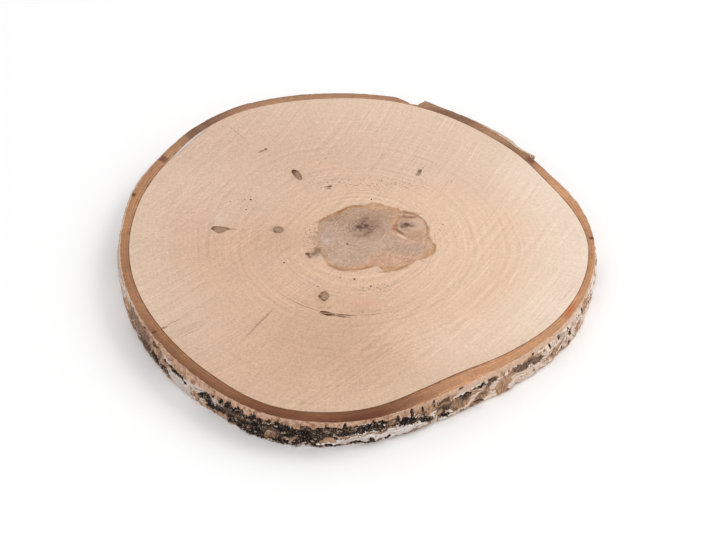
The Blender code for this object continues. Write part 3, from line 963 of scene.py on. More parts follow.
def outer_bark():
    """White paper over tan, grimy smooth bark, black split cork, and a rubbed strip under the sawn edge. Painted light
    makes it paler to the right and painted shade greyer to the left; the cork has painted shade in its splits and
    painted highlights on its lumps.
    """
    material, tree, shader = new_material("outer birch bark", roughness=0.8, specular=0.2)
    where = position(tree)
    relief = attribute(tree, "relief")
    mottle = use(tree, MOTTLE, {"Position": where})
    flecks = grain(tree, where, 620.0, 3.0, 0.7)
    lumps = grain(tree, where, 260.0, 2.0, 0.6)
    splits = grain(tree, stretched(tree, where, (780.0, 780.0, 230.0)), 1.0, 3.0, 0.65)
    bands = grain(tree, stretched(tree, where, (70.0, 70.0, 700.0)), 1.0, 3.0, 0.6)

    # Where cork, tan and grime lie is given for areas; these break them into specks, splits and ragged edges.
    speckle = vary(tree, vary(tree, vary(tree, 0.0, flecks, 1.3), splits, 1.7), lumps, 1.0)
    streaky = vary(tree, vary(tree, 0.0, bands, 1.6), lumps, 1.4)

    # Paler and warmer to the right, partly painted light; greyer to the left, painted shade.
    lit_and_paler_right = between(tree, add(tree, "SeparateXYZ", {"Vector": where}).outputs["X"], 0.02, 0.09)
    shaded_left = between(tree, add(tree, "SeparateXYZ", {"Vector": where}).outputs["X"], -0.085, -0.040, 0.7, 0.0)
    paper = blend(tree, lit_and_paler_right, srgb(236, 229, 226), srgb(240, 222, 207))
    paper = blend(tree, shaded_left, paper, srgb(190, 174, 166))
    shaded = blend(tree, lit_and_paler_right, srgb(178, 168, 164), srgb(200, 172, 154))
    paper = blend(tree, between(tree, bands, 0.35, 0.65), paper, shaded)
    paper = blend(tree, between(tree, mottle.outputs["Blotches"], 0.42, 0.68, 0.0, 0.4), paper, srgb(206, 174, 154))
    under = blend(tree, between(tree, splits, 0.35, 0.65), srgb(146, 108, 80), srgb(196, 158, 128))
    brown = blend(tree, between(tree, flecks, 0.38, 0.62), srgb(62, 45, 36), srgb(142, 114, 96))
    brown = blend(tree, between(tree, bands, 0.46, 0.62, 0.0, 0.6), brown, srgb(158, 126, 108))
    colour = blend(tree, share_of(tree, "tan", streaky), paper, under)
    colour = blend(tree, share_of(tree, "grime", streaky, 0.9), colour, brown)

    rubbed = blend(tree, between(tree, flecks, 0.36, 0.64), srgb(170, 130, 105), srgb(208, 170, 144))
    rubbed = blend(tree, between(tree, lumps, 0.50, 0.64, 0.0, 0.7), rubbed, srgb(136, 92, 66))
    # The rubbed strip paler to the right: painted light.
    rubbed = blend(tree, calc(tree, "MULTIPLY", lit_and_paler_right, 0.6), rubbed, srgb(222, 188, 162))
    colour = blend(tree, share_of(tree, "worn", speckle, 0.95), colour, rubbed)

    height = vary(tree, vary(tree, calc(tree, "MULTIPLY_ADD", relief, 0.4, 0.30), flecks, 2.4), lumps, 1.6)
    height = vary(tree, height, bands, 1.8)
    # The cork black in its splits and grey to pale on its lumps: painted shade in the splits and painted highlights on
    # the lumps.
    dark = blend(tree, between(tree, height, 0.30, 0.70), srgb(20, 14, 11), srgb(70, 52, 42))
    dark = blend(tree, between(tree, height, 0.66, 0.92, 0.0, 0.85), dark, srgb(128, 106, 90))
    dark = blend(tree, between(tree, height, 0.92, 1.08, 0.0, 0.85), dark, srgb(204, 186, 170))
    russet = blend(tree, between(tree, flecks, 0.36, 0.62), srgb(48, 34, 26), srgb(112, 86, 70))
    russet = blend(tree, between(tree, bands, 0.54, 0.66, 0.0, 0.6), russet, srgb(150, 124, 106))
    dark = blend(tree, share_of(tree, "grime", speckle, 0.9), dark, russet)
    colour = blend(tree, share_of(tree, "cork", speckle), colour, dark)
    fill(tree, shader.inputs["Base Color"], colour)

    height = calc(tree, "MULTIPLY_ADD", splits, calc(tree, "MULTIPLY", attribute(tree, "cork"), 1.5), flecks)
    bump = add(tree, "Bump", {"Height": height, "Strength": 0.7, "Distance": 0.0004})
    fill(tree, shader.inputs["Normal"], bump.outputs["Normal"])
    return material


def share_of(tree, name, broken, most=1.0):
    """Turns the painted share of a covering into sharp patches, broken up by a noise about zero."""
    return between(tree, calc(tree, "ADD", attribute(tree, name), broken), 0.43, 0.57, 0.0, most)


# Wood

def inset_rings(obj, facing, rings):
    """Insets one sawn face again and again, which leaves rings of faces on it. facing is 1 up and -1 down."""
    edit_only(obj)
    bpy.ops.mesh.select_mode(type="FACE")
    bpy.ops.mesh.select_all(action="DESELECT")
    bpy.ops.object.mode_set(mode="OBJECT")
    for face in obj.data.polygons:
        face.select = face.normal.z * facing > 0.5
    bpy.ops.object.mode_set(mode="EDIT")
    for count, width in rings:
        for _ in range(count):
            bpy.ops.mesh.inset(thickness=width)
    bpy.ops.object.mode_set(mode="OBJECT")


def ring_age(points):
    """How far out each point's yearly ring would lie on a round trunk: rings turn from the pith to the outline."""
    share = np.full(len(points), 0.5)
    pith = np.array(PITH)
    for _ in range(12):
        centre = pith * (1 - smooth_step(0.0, 0.45, share))[:, None]
        offset = points[:, :2] - centre
        reach, azimuth = polar(np.column_stack((offset, points[:, 2])))
        outline = around(SAWN_EDGE, azimuth) - around(BARK, azimuth)
        follow = smooth_step(0.35, 1.0, share)
        share = np.clip(reach / (BLANK_WOOD * (1 - follow) + outline * follow), 0, 1)
    return share * BLANK_WOOD


def knot_cutter(outline, rim, bed):
    """A shallow tray of this outline, in millimetres, let into the top: a dark slope round a weathered bed."""
    deselect_all()
    bpy.ops.mesh.primitive_circle_add(vertices=len(outline), radius=0.01, fill_type="NGON")
    cutter = tool(bpy.context.object)
    points = np.array([(x * MM, y * MM, THICKNESS + 0.0005) for x, y in outline])
    move_points(cutter.data, points)
    edit_only(cutter)
    bpy.ops.mesh.extrude_region_move(TRANSFORM_OT_translate={"value": (0, 0, -0.0005)})
    bpy.ops.mesh.extrude_region_move(TRANSFORM_OT_translate={"value": (0, 0, -KNOT_DEPTH * MM)})
    bpy.ops.transform.resize(value=(KNOT_BED, KNOT_BED, 1), center_override=points.mean(axis=0))
    bpy.ops.object.mode_set(mode="OBJECT")
    close_up(cutter)
    cutter.data.materials.append(rim)
    cutter.data.materials.append(bed)
    lowest = min(vertex.co.z for vertex in cutter.data.vertices)
    for face in cutter.data.polygons:
        face.material_index = int(face.center.z < lowest + 0.00001)
    return cutter


def pit(x, y, radius, material):
    """A ball let into the top face, in millimetres."""
    deselect_all()
    bpy.ops.mesh.primitive_uv_sphere_add(
        segments=12, ring_count=8, radius=radius * MM, location=(x * MM, y * MM, THICKNESS)
    )
    cutter = tool(bpy.context.object)
    bpy.ops.object.transform_apply()
    cutter.data.materials.append(material)
    return cutter


def crack(points, width, depth, material):
    """A tapering groove along points in millimetres: a thin tube, stretched downwards."""
    deselect_all()
    bpy.ops.curve.primitive_nurbs_path_add()
    cutter = tool(bpy.context.object)
    curve = cutter.data
    curve.splines.clear()
    spline = curve.splines.new("POLY")
    spline.points.add(len(points) - 1)
    for number, (x, y) in enumerate(points):
        share = number / (len(points) - 1)
        spline.points[number].co = (x * MM, y * MM, 0.0, 1.0)
        spline.points[number].radius = 0.2 + 0.8 * math.sin(math.pi * share)
    curve.bevel_depth = width * MM / 2
    curve.bevel_resolution = 1
    curve.use_fill_caps = True
    select_only(cutter)
    bpy.ops.object.convert(target="MESH")
    cutter.scale = (1.0, 1.0, 2 * depth / width)
    cutter.location = (0.0, 0.0, THICKNESS)
    bpy.ops.object.transform_apply()
    close_up(cutter)
    cutter.data.materials.clear()
    cutter.data.materials.append(material)
    return cutter


def arc_points(centre, radius, start, end, count):
    turns = [math.radians(start + (end - start) * step / (count - 1)) for step in range(count)]
    return [(centre[0] + radius * math.cos(turn), centre[1] + radius * math.sin(turn)) for turn in turns]


def make_wood():
    deselect_all()
    bpy.ops.mesh.primitive_cylinder_add(
        vertices=WOOD_SEGMENTS, radius=BLANK_WOOD, depth=THICKNESS, location=(0, 0, THICKNESS / 2)
    )
    wood = bpy.context.object
    wood.name = "wood"
    bpy.ops.object.transform_apply()
    inset_rings(wood, 1, TOP_RINGS)
    inset_rings(wood, -1, BOTTOM_RINGS)
    points = points_of(wood.data)
    radius, azimuth = polar(points)
    outline = around(SAWN_EDGE, azimuth) - around(BARK, azimuth)
    move_points(wood.data, placed(radius * outline / BLANK_WOOD, azimuth, points[:, 2]))
    wood.data.materials.append(sawn_wood())

    dark = crack_wood()
    hollows = [crack(arc_points(SHAKE_CENTRE, SHAKE_RADIUS, start, end, 14), width, CRACK_DEPTH, dark)
               for start, end, width in SHAKES]
    hollows += [crack(check, CHECK_WIDTH, CRACK_DEPTH, dark) for check in CHECKS]
    hollows += [pit(x, y, size, dark) for x, y, size in DOTS]
    cut(wood, hollows)
    rim = knot_wood("dark rim of a dead branch", (92, 68, 52), (146, 116, 94))
    bed = knot_wood("dead branch wood", (134, 106, 84), (168, 138, 114))
    cut(wood, [knot_cutter(outline, rim, bed) for outline in KNOTS])

    points = points_of(wood.data)
    paint(wood.data, "age", ring_age(points))
    on_top = points[:, :2] / MM
    paint(wood.data, "heart", np.clip(distance_inside(HEART, on_top), -20, 20))
    paint(wood.data, "grey_wood", np.clip(distance_inside(GREY_WOOD, on_top), -20, 20))
    paint(wood.data, "eye", np.clip(distance_inside(EYE, on_top), -20, 20))
    return wood


# Bark

# What covers the outer bark. Each kind has its share of black cork, of tan under the peeled paper, and of grime.
WHITE = (0.15, 0.0, 0.05)
TAN = (0.12, 1.0, 0.0)
OLIVE = (0.15, 1.0, 0.6)
DUSKY = (0.16, 0.9, 1.0)
MIXED = (0.40, 0.6, 0.3)
SPECKED = (0.30, 0.1, 0.1)
DUSTY = (0.42, 0.8, 0.8)
PALE = (0.12, 0.45, 0.05)
BROWN = (0.70, 0.8, 0.75)
CORK = (0.92, 0.6, 0.25)
BLACK = (1.0, 0.6, -0.1)
ARC_PER_DEGREE = BLANK_EDGE * math.radians(1) / MM

# Patches in the order they were laid: (kind, azimuth, height, half length, half height, tilt), in degrees and mm.
PATCHES = (
    (PALE, 191, 14, 20, 14, 0),
    (DUSKY, 208, 12, 33, 15, 0),
    (OLIVE, 202.5, 14, 7, 9, 20),
    (TAN, 199.5, 20.5, 7, 3.0, 0),
    (OLIVE, 206, 21, 16, 4, 0),
    (MIXED, 204, 9, 20, 2.6, -6),
    (OLIVE, 216, 17, 12, 5.0, 0),
    (DUSKY, 210, 18.5, 8, 3.0, 0),
    (BROWN, 215, 20, 6, 1.0, -8),
    (TAN, 262, 20, 92, 3.4, 0),
    (TAN, 215.5, 15, 5, 2.2, 0),
    (BROWN, 211, 9.0, 10, 5.0, -8),
    (CORK, 215, 10.3, 6.5, 3.4, -12),
    (BLACK, 215.5, 8.0, 7, 2.8, -8),
    (CORK, 218.6, 6.6, 11, 3.4, -6),
    (MIXED, 219, 12.0, 6, 2.0, 0),
    (WHITE, 226, 8, 14, 5.6, -8),
    (WHITE, 232, 18.5, 10, 1.3, 4),
    (WHITE, 229.5, 14.5, 6, 2.5, 0),
    (CORK, 223.5, 14.8, 14, 2.0, -10),
    (OLIVE, 231, 8.0, 4, 6.0, 0),
    (MIXED, 230, 9.5, 4, 4.0, 0),
    (CORK, 234.5, 11, 9, 4.0, -4),
    (CORK, 236.5, 6, 7, 4.0, 0),
    (MIXED, 234, 15.5, 8, 2.0, 0),
    (CORK, 250, 10.5, 44, 10.5, 0),
    (BLACK, 237.0, 6.5, 9, 3.6, 0),
    (BLACK, 240.5, 16.8, 7, 1.8, 0),
    (BROWN, 242.5, 13.0, 12, 2.8, -8),
    (BROWN, 250, 11.5, 10, 2.4, -12),
    (BLACK, 246, 14.6, 10, 1.8, -4),
    (BLACK, 244, 17.3, 12, 1.6, 0),
    (BLACK, 243, 5.2, 16, 3.2, 0),
    (BLACK, 254, 17.0, 12, 1.8, -4),
    (BLACK, 257, 5.0, 9, 2.6, 0),
    (OLIVE, 251, 6.0, 3.5, 3.6, 30),
    (MIXED, 255.5, 8.2, 4, 1.4, 0),
    (CORK, 264, 15.0, 22, 6.5, 0),
    (CORK, 272, 16.6, 26, 5.2, -3),
    (WHITE, 274.5, 6.8, 31, 4.0, 2.5),
    (TAN, 264, 6.6, 5, 2.0, 0),
    (WHITE, 279.5, 8, 12, 5.0, 0),
    (MIXED, 272, 11.6, 24, 1.6, 2),
    (MIXED, 281, 16.6, 16, 2.4, -3),
    (CORK, 282, 14.0, 10, 3.4, -14),
    (CORK, 286.5, 11.0, 6, 2.6, -35),
    (BLACK, 266.5, 2.6, 32, 1.1, 0.5),
    (BLACK, 278.5, 21.0, 1.8, 0.6, -40),
    (BLACK, 280.2, 17.6, 1.9, 0.6, 35),
    (BLACK, 282.0, 20.6, 2.0, 0.6, -38),
    (BLACK, 283.8, 17.2, 2.2, 0.7, 40),
    (BLACK, 286.4, 17.8, 1.8, 0.6, 30),
    (BLACK, 273.3, 5.0, 1.8, 1.8, 0),
    (BLACK, 276.8, 4.6, 2.6, 1.2, 20),
    (BROWN, 291.3, 13, 7.5, 8.0, 0),
    (TAN, 290, 9, 3.5, 3.0, 0),
    (BROWN, 291, 18.8, 5, 2.2, 0),
    (TAN, 291.5, 16, 5, 1.4, 0),
    (CORK, 291.5, 5.0, 7, 1.7, -3),
    (WHITE, 297.5, 20.5, 10, 2.4, 0),
    (OLIVE, 295.3, 11.0, 7.0, 5.6, 0),
    (BROWN, 298, 13.5, 5, 2.4, 10),
    (WHITE, 299.8, 8.5, 8, 2.6, 22),
    (OLIVE, 303, 11.5, 10, 3.0, 38),
    (CORK, 298.6, 16.8, 14, 1.1, 8),
    (CORK, 301.5, 4.0, 5, 0.8, 0),
    (WHITE, 305.6, 7, 2.4, 5.5, 0),
    (BROWN, 305.0, 18.6, 4.5, 3.6, 0),
    (CORK, 304.6, 21.5, 2.4, 1.6, 0),
    (MIXED, 308.7, 20.8, 4.5, 1.2, -10),
    (TAN, 308.6, 9, 7.5, 7.0, 0),
    (MIXED, 315.0, 17.0, 16, 3.0, -4),
    (DUSTY, 315.0, 15.0, 16, 4.0, -4),
    (TAN, 310, 14, 5, 3.0, 30),
    (WHITE, 315, 5.4, 16, 4.4, 4),
    (CORK, 318.6, 6.0, 2.0, 1.3, 0),
    (SPECKED, 320, 7.0, 6, 3.5, 0),
    (BROWN, 320.5, 14.0, 4.5, 2.4, -20),
    (TAN, 326, 8, 9, 4.5, 0),
    (SPECKED, 326, 18, 12, 4.5, 0),
    (SPECKED, 334, 12, 17, 9, 0),
    (TAN, 329, 14, 2.0, 6.0, -30),
    (TAN, 336, 8, 2.5, 6.0, -30),
    (TAN, 340.5, 15, 2.5, 6.0, -30),
    (WHITE, 342, 6, 10, 6, 0),
    (TAN, 340.5, 20, 5, 3.0, -20),
)
# Upright black cracks: (azimuth, height, half width, half height).
UPRIGHT_CRACKS = (
    (236.5, 19.0, 1.0, 1.6),
    (239.0, 18.8, 1.4, 1.8),
    (241.5, 20.0, 0.6, 2.0),
    (247.5, 20.5, 0.7, 2.0),
    (253.0, 20.5, 0.6, 2.2),
    (258.0, 20.5, 0.7, 2.4),
    (263.5, 21.0, 0.6, 2.4),
    (267.5, 21.0, 1.0, 2.8),
    (270.0, 20.0, 0.7, 2.2),
    (273.7, 20.8, 0.9, 3.0),
    (276.2, 19.6, 0.9, 1.8),
    (279.3, 19.2, 1.0, 3.6),
    (282.8, 18.6, 1.2, 4.6),
    (285.5, 19.0, 0.7, 2.8),
    (288.5, 20.6, 0.9, 3.0),
    (296.0, 24.0, 2.4, 0.5),
    (302.5, 19.5, 1.6, 0.9),
    (318.0, 21.5, 0.6, 1.2),
    (321.5, 17.5, 0.6, 2.0),
    (323.6, 18.0, 0.9, 3.0),
    (324.8, 10, 0.7, 3.6),
    (327.2, 19.0, 1.2, 1.6),
    (329.2, 4.5, 0.8, 2.0),
    (331.0, 17.5, 1.0, 2.6),
    (331.8, 13.5, 0.9, 2.4),
    (331.6, 4.5, 1.0, 2.4),
    (333.2, 13.0, 1.0, 1.8),
    (336.0, 5.5, 0.6, 2.4),
    (338.5, 17.5, 1.0, 2.8),
    (343.0, 12.0, 0.7, 4.0),
    (345.5, 17.0, 0.7, 3.0),
)
# How high the rubbed strip under the sawn edge begins, in millimetres: (azimuth, height).
WORN_FROM = (
    (0, 22.5),
    (90, 23.0),
    (180, 23.5),
    (197, 25.5),
    (207, 25.0),
    (216, 21.3),
    (230, 19.8),
    (245, 20.3),
    (256, 21.0),
    (268, 20.0),
    (275, 21.4),
    (281, 19.6),
    (290, 21.4),
    (312, 20.4),
    (330, 22.0),
    (345, 23.5),
)
SEED = 7
BACK_PATCHES = 60  # on the far side, drawn at random


def back_patches():
    """Papery bark with a few black scars for the azimuths that PATCHES leaves out."""
    draw = random.Random(SEED)
    patches = []
    for _ in range(BACK_PATCHES):
        kind = draw.choice((WHITE, WHITE, TAN, MIXED, DUSKY, CORK))
        azimuth = draw.uniform(-14, 186) % 360
        length = draw.uniform(6, 20) if kind != CORK else draw.uniform(2, 9)
        patches.append((kind, azimuth, draw.uniform(2, 20), length, draw.uniform(1.5, 6), draw.uniform(-8, 8)))
    return patches


def patch_reach(azimuth, height, patch):
    """How far each point lies from a patch's middle: 1 on its edge."""
    _, middle, level, half_length, half_height, tilt = patch
    across = ((azimuth - middle + 180) % 360 - 180) * ARC_PER_DEGREE
    up = height - level
    turn = math.radians(tilt)
    along = across * math.cos(turn) + up * math.sin(turn)
    over = up * math.cos(turn) - across * math.sin(turn)
    return np.hypot(along / half_length, over / half_height)


def bark_cover(points, azimuth):
    """The shares of cork, tan, grime and rubbed strip at each point of the outer bark."""
    height = points[:, 2] / MM
    coarse = noise_at(points, (0.0050, 0.0050, 0.0060))
    fine = noise_at(points + 1.0, (0.0018, 0.0018, 0.0030))
    ragged = 0.45 * coarse + 0.30 * fine
    cover = {
        "cork": np.clip(0.10 + 0.5 * noise_at(points + 2.0, (0.0030, 0.0030, 0.0055)), 0, 1),
        "tan": np.clip(0.45 + 0.9 * noise_at(points + 3.0, (0.018, 0.018, 0.006)), 0, 1),
        "grime": np.clip(0.15 + 0.9 * noise_at(points + 4.0, (0.022, 0.022, 0.008)), 0, 1),
    }
    for patch in (*back_patches(), *PATCHES):
        share = smooth_step(1.25, 0.75, patch_reach(azimuth, height, patch) + ragged)
        for name, most in zip(cover, patch[0]):
            cover[name] += share * (most - cover[name])
    cover["worn"] = smooth_step(-1.3, 1.3, height - around(WORN_FROM, azimuth) + 2.0 * coarse + 1.2 * fine)
    cover["cork"] *= 1 - 0.85 * cover["worn"]
    for middle, level, half_width, half_height in UPRIGHT_CRACKS:
        patch = (CORK, middle, level, half_width, half_height, 0)
        split = smooth_step(1.35, 0.75, patch_reach(azimuth, height, patch) + 1.1 * ragged)
        cover["cork"] = np.maximum(cover["cork"], split)
    return cover


def bark_relief(points, azimuth):
    """The part's own relief: split corky ridges, and the slow waves of papery bark."""
    rough = around(ROUGHNESS, azimuth)
    ridges = np.abs(noise_at(points, CORK_RIDGE_SIZE))
    return rough * CORK_RIDGE * (0.35 - 2 * ridges) + PAPER_WAVE * noise_at(points, PAPER_WAVE_SIZE)


def cork_relief(points, cork):
    """Upright splits and lumps between them, as 0 in a split to 1 on a lump, and how far that stands out."""
    wide = np.abs(noise_at(points + 5.0, (0.0028, 0.0028, 0.0042)))
    narrow = np.abs(noise_at(points + 6.0, (0.0014, 0.0014, 0.0030)))
    lumps = 0.5 + 0.5 * noise_at(points + 7.0, (0.0022, 0.0022, 0.0030))
    level = smooth_step(0.02, 0.30, wide) * (0.55 + 0.45 * smooth_step(0.0, 0.30, narrow)) * (0.5 + lumps)
    level = np.clip(level, 0, 1)
    return level, cork * (level - 0.75) * 0.0017


# How light the sawn bark is: (azimuth, 0 for dark to 1 for light).
BARK_TONE = (
    (0, 0.55),
    (12, 0.66),
    (22, 0.82),
    (31, 0.60),
    (40, 0.20),
    (50, 0.50),
    (60, 0.10),
    (70, 0.34),
    (84, 0.42),
    (104, 0.50),
    (120, 0.40),
    (130, 0.02),
    (138, 0.45),
    (160, 0.55),
    (172, 0.54),
    (190, 0.36),
    (200, 0.45),
    (212, 0.34),
    (225, 0.26),
    (240, 0.20),
    (250, 0.07),
    (262, 0.12),
    (272, 0.06),
    (281, 0.22),
    (290, 0.55),
    (300, 0.74),
    (312, 0.74),
    (330, 0.74),
    (342, 0.68),
    (352, 0.56),
)
# How much lighter it grows from its inside to its outside: (azimuth, difference).
BARK_OUTER_TONE = (
    (0, 0.12),
    (12, 0.22),
    (25, 0.00),
    (40, 0.15),
    (60, -0.10),
    (70, 0.10),
    (90, -0.10),
    (150, 0.00),
    (190, 0.15),
    (215, -0.12),
    (240, -0.12),
    (258, -0.02),
    (272, -0.14),
    (288, 0.05),
    (320, 0.15),
    (340, -0.05),
    (350, 0.28),
)
# How much of the sawn bark's width is pale paper, on its outside: (azimuth, share).
PALE_PAPER = (
    (0, 0.05),
    (20, 0.12),
    (36, 0.10),
    (43, 0.34),
    (56, 0.16),
    (66, 0.05),
    (80, 0.04),
    (130, 0.03),
    (150, 0.12),
    (180, 0.16),
    (200, 0.14),
    (222, 0.06),
    (245, 0.03),
    (290, 0.02),
    (320, 0.07),
    (345, 0.04),
)
# Dark stains in the sawn bark: (azimuth, half width in degrees, inner and outer share of the width, strength).
BARK_STAINS = (
    (135, 2.2, 0.0, 1.0, 0.5),
    (147, 1.2, 0.2, 0.8, 0.6),
    (162, 0.7, 0.6, 1.0, 0.6),
    (2, 0.6, 0.5, 1.0, 0.6),
    (35.5, 1.6, 0.3, 1.0, 0.6),
    (66, 5.0, 0.0, 0.6, 0.3),
    (213, 0.4, 0.5, 1.0, 0.3),
)
# Orange and reddish streaks in it, in the terms of the heart's shades.
BARK_STREAKS = (
    (151.5, -70.6, 8, 2.2, 65, 0.7, 0.85, (175, 104, 58)),
    (161.0, -50.0, 6, 1.2, 72, 0.7, 0.4, (180, 118, 78)),
    (-24.5, -176.0, 10, 0.8, -8, 0.6, 0.5, (118, 58, 46)),
    (-46.0, -172.5, 9, 0.7, -15, 0.6, 0.45, (124, 64, 48)),
    (6.0, -173.0, 12, 0.8, 2, 0.6, 0.5, (112, 58, 44)),
    (-107.0, -136.0, 8, 0.8, -38, 0.6, 0.5, (150, 76, 60)),
    (-119.5, -123.5, 6, 0.8, -44, 0.6, 0.5, (146, 84, 58)),
    (-80.0, -154.5, 10, 0.6, -27, 0.6, 0.45, (132, 72, 52)),
)
# Loose ends of torn paper: (name, root azimuth, tip azimuth, how far the tip stands off, tan, in mm).
FLAKES = (
    ("torn_paper_left", 60.0, 72.4, 3.4, 0.0),
    ("torn_paper_right", 44.0, 36.2, 3.4, 0.45),
)
FLAKE_THICKNESS = 0.5


def bark_section():
    """The ring's section as a closed loop of (distance, height), from the inner wall over the top and down."""
    inner = BLANK_WOOD - BARK_OVERLAP
    heights = np.linspace(THICKNESS - 0.0005, 0.0002, BARK_SIDE_ROWS)
    top = [(radius, THICKNESS) for radius in np.linspace(inner, BLANK_EDGE - 0.0004, BARK_TOP_ROWS)]
    side = [(BLANK_EDGE, height) for height in heights]
    bottom = [(radius, 0.0) for radius in np.linspace(BLANK_EDGE - 0.0006, inner, BARK_BOTTOM_ROWS)]
    return top + side + bottom


def ragged_edge(azimuth, height, share):
    """Small chips along the sawn edges of the outer bark."""
    rim = np.column_stack((np.cos(np.radians(azimuth)), np.sin(np.radians(azimuth)), 0 * azimuth)) * BLANK_EDGE
    at_top = smooth_step(0.0205, 0.0240, height)
    at_bottom = smooth_step(0.0035, 0.0, height)
    chips = 0.00030 * noise_at(rim, 0.0022) + 0.00040 * noise_at(rim + 1.0, 0.0060)
    return smooth_step(0.55, 1.0, share) * (at_top * chips + at_bottom * 2.0 * chips)


def make_bark(outer):
    section = bark_section()
    deselect_all()
    bpy.ops.mesh.primitive_circle_add(vertices=len(section), radius=BLANK_BARK, fill_type="NOTHING")
    bark = bpy.context.object
    bark.name = "bark"
    move_points(bark.data, np.array([(radius, 0.0, height) for radius, height in section]))
    screw = bark.modifiers.new("Turn", "SCREW")
    screw.steps = BARK_SEGMENTS
    screw.render_steps = BARK_SEGMENTS
    screw.use_merge_vertices = True
    screw.merge_threshold = 0.00001
    bpy.ops.object.modifier_apply(modifier="Turn")
    close_up(bark)

    bark.data.materials.append(sawn_bark())
    bark.data.materials.append(outer)
    for face in bark.data.polygons:
        face.material_index = int(abs(face.normal.z) < 0.75)
        face.use_smooth = True

    points = points_of(bark.data)
    radius, azimuth = polar(points)
    height = points[:, 2]
    thickness = around(BARK, azimuth)
    wood = around(SAWN_EDGE, azimuth) - thickness
    left = thickness * straight(TORN, azimuth, 1.0)
    share = np.clip((radius - BLANK_WOOD) / BLANK_BARK, -1, 1)
    outside = radius > BLANK_EDGE - 0.0002
    narrowing = around(UNDERCUT, azimuth) * (1 - height / THICKNESS) ** UNDERCUT_POWER
    moved = wood + share * left - narrowing * (radius > BLANK_WOOD)

    cover = bark_cover(points, azimuth)
    level, cork_out = cork_relief(points, cover["cork"])
    rough_share = smooth_step(0.0206, WORN_STRIP, height) * (0.45 + 0.55 * smooth_step(0.0, 0.004, height))
    paper_out = 0.00035 * (1 - cover["tan"]) * (1 - cover["cork"])
    paper_out += 0.0002 * noise_at(points, (0.010, 0.010, 0.0012))
    out = straight(SIDE, height) + rough_share * (bark_relief(points, azimuth) + paper_out) + cork_out
    moved += np.where(outside, out, 0.0) + ragged_edge(azimuth, height, share)
    groove = 0.0005 * smooth_step(0.12, 0.0, share) * (height > THICKNESS / 2)
    uneven = 0.00010 * noise_at(points, 0.0030) * (height > THICKNESS - 0.0001)
    move_points(bark.data, within_box(placed(moved, azimuth, height - groove - np.abs(uneven))))

    for name, values in cover.items():
        paint(bark.data, name, values)
    paint(bark.data, "relief", level)
    paint(bark.data, "depth", share)
    paint(bark.data, "tone", bark_tone(azimuth, share))
    paint(bark.data, "paper", np.clip(0.5 + (share - 1 + around(PALE_PAPER, azimuth)) / 0.15, 0, 1))
    paint(bark.data, "layers", share * left + 0.0012 * noise_at(points, 0.02))
    return bark


def bark_tone(azimuth, share):
    """How light the sawn bark is at each point, with its dark stains."""
    tone = around(BARK_TONE, azimuth) + around(BARK_OUTER_TONE, azimuth) * (share - 0.35)
    for middle, half_width, inner, outer, strength in BARK_STAINS:
        across = np.abs((azimuth - middle + 180) % 360 - 180) / half_width
        within = smooth_step(inner - 0.15, inner + 0.05, share) * smooth_step(outer + 0.15, outer - 0.05, share)
        tone = tone - strength * within * smooth_step(1.2, 0.4, across)
    return np.clip(tone, 0, 1)


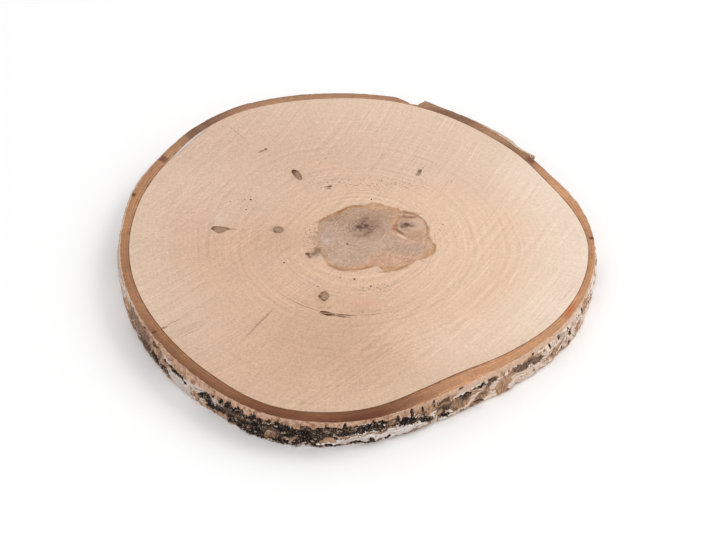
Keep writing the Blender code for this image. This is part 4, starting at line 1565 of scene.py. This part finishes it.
def make_flake(name, root, tip, lift, tan, outer):
    """A loose end of paper: a bent sheet that leaves the bark at its root and narrows to a torn tip."""
    deselect_all()
    bpy.ops.mesh.primitive_grid_add(x_subdivisions=60, y_subdivisions=18, size=1.0)
    flake = bpy.context.object
    flake.name = name
    points = points_of(flake.data)
    along = points[:, 0] + 0.5
    up = points[:, 1] + 0.5
    azimuth = root + (tip - root) * along
    edge = around(SAWN_EDGE, azimuth) - 0.0006
    crumple = 0.0004 * noise_at(points * 0.05, 0.006)
    lowest = 0.004 + 0.0185 * along ** 2 + 0.0012 * noise_at(points * 0.08, 0.010) * along
    highest = THICKNESS - 0.0002 - 0.0010 * (1 - along)
    radius = edge + lift * MM * along ** 1.6 + crumple * along
    move_points(flake.data, placed(radius, azimuth, lowest + (highest - lowest) * up))
    thicken = flake.modifiers.new("Thicken", "SOLIDIFY")
    thicken.thickness = FLAKE_THICKNESS * MM
    thicken.offset = 0.0
    select_only(flake)
    bpy.ops.object.modifier_apply(modifier="Thicken")
    close_up(flake)
    bpy.ops.object.shade_smooth_by_angle(angle=math.radians(40))
    points = within_box(points_of(flake.data))
    move_points(flake.data, points)
    flake.data.materials.append(outer)
    count = len(points)
    cover = {"cork": -0.1, "tan": tan, "grime": -0.1, "worn": 0.0, "relief": 0.8}
    for attribute_name, value in cover.items():
        paint(flake.data, attribute_name, np.full(count, value))
    return flake


# Studio

def make_floor():
    deselect_all()
    bpy.ops.mesh.primitive_plane_add(size=12.0, location=(0, 0, 0))
    floor = bpy.context.object
    floor.name = "floor"
    material, _, shader = new_material("white floor", roughness=0.9, specular=0.1)
    shader.inputs["Base Color"].default_value = (0.93, 0.93, 0.93, 1.0)
    floor.data.materials.append(material)


def make_light(name, place, size, power, target=(0, 0, 0)):
    deselect_all()
    bpy.ops.object.light_add(type="AREA", location=place)
    light = bpy.context.object
    light.name = name
    light.data.size = size
    light.data.energy = power
    light.rotation_euler = (Vector(target) - Vector(place)).to_track_quat("-Z", "Y").to_euler()


def make_studio():
    scene = bpy.context.scene
    scene.view_settings.view_transform = "Standard"
    world = bpy.data.worlds.new("white room")
    world.use_nodes = True
    scene.world = world
    background = world.node_tree.nodes["Background"]
    background.inputs["Color"].default_value = (1.0, 1.0, 1.0, 1.0)
    background.inputs["Strength"].default_value = 0.80
    make_floor()
    make_light("key", (1.3, 0.5, 1.6), 1.2, 16.0)
    make_light("front", (-0.9, -1.6, 1.2), 1.4, 7.0)


def make_camera():
    elevation = math.radians(VIEW_ELEVATION)
    back = Vector((0.0, -math.cos(elevation), math.sin(elevation)))
    deselect_all()
    bpy.ops.object.camera_add(location=VIEW_TARGET + back * VIEW_DISTANCE)
    camera = bpy.context.object
    camera.rotation_euler = (-back).to_track_quat("-Z", "Y").to_euler()
    camera.data.lens = LENS
    camera.data.sensor_width = 36.0
    camera.data.clip_start = 0.05
    bpy.context.scene.camera = camera


make_camera()
make_studio()
outer = outer_bark()
pieces = [(make_wood(), "wood"), (make_bark(outer), "bark")]
pieces += [(make_flake(*flake, outer), "bark") for flake in FLAKES]
for piece, slot in pieces:
    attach(piece, BODY)
    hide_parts(NODE)
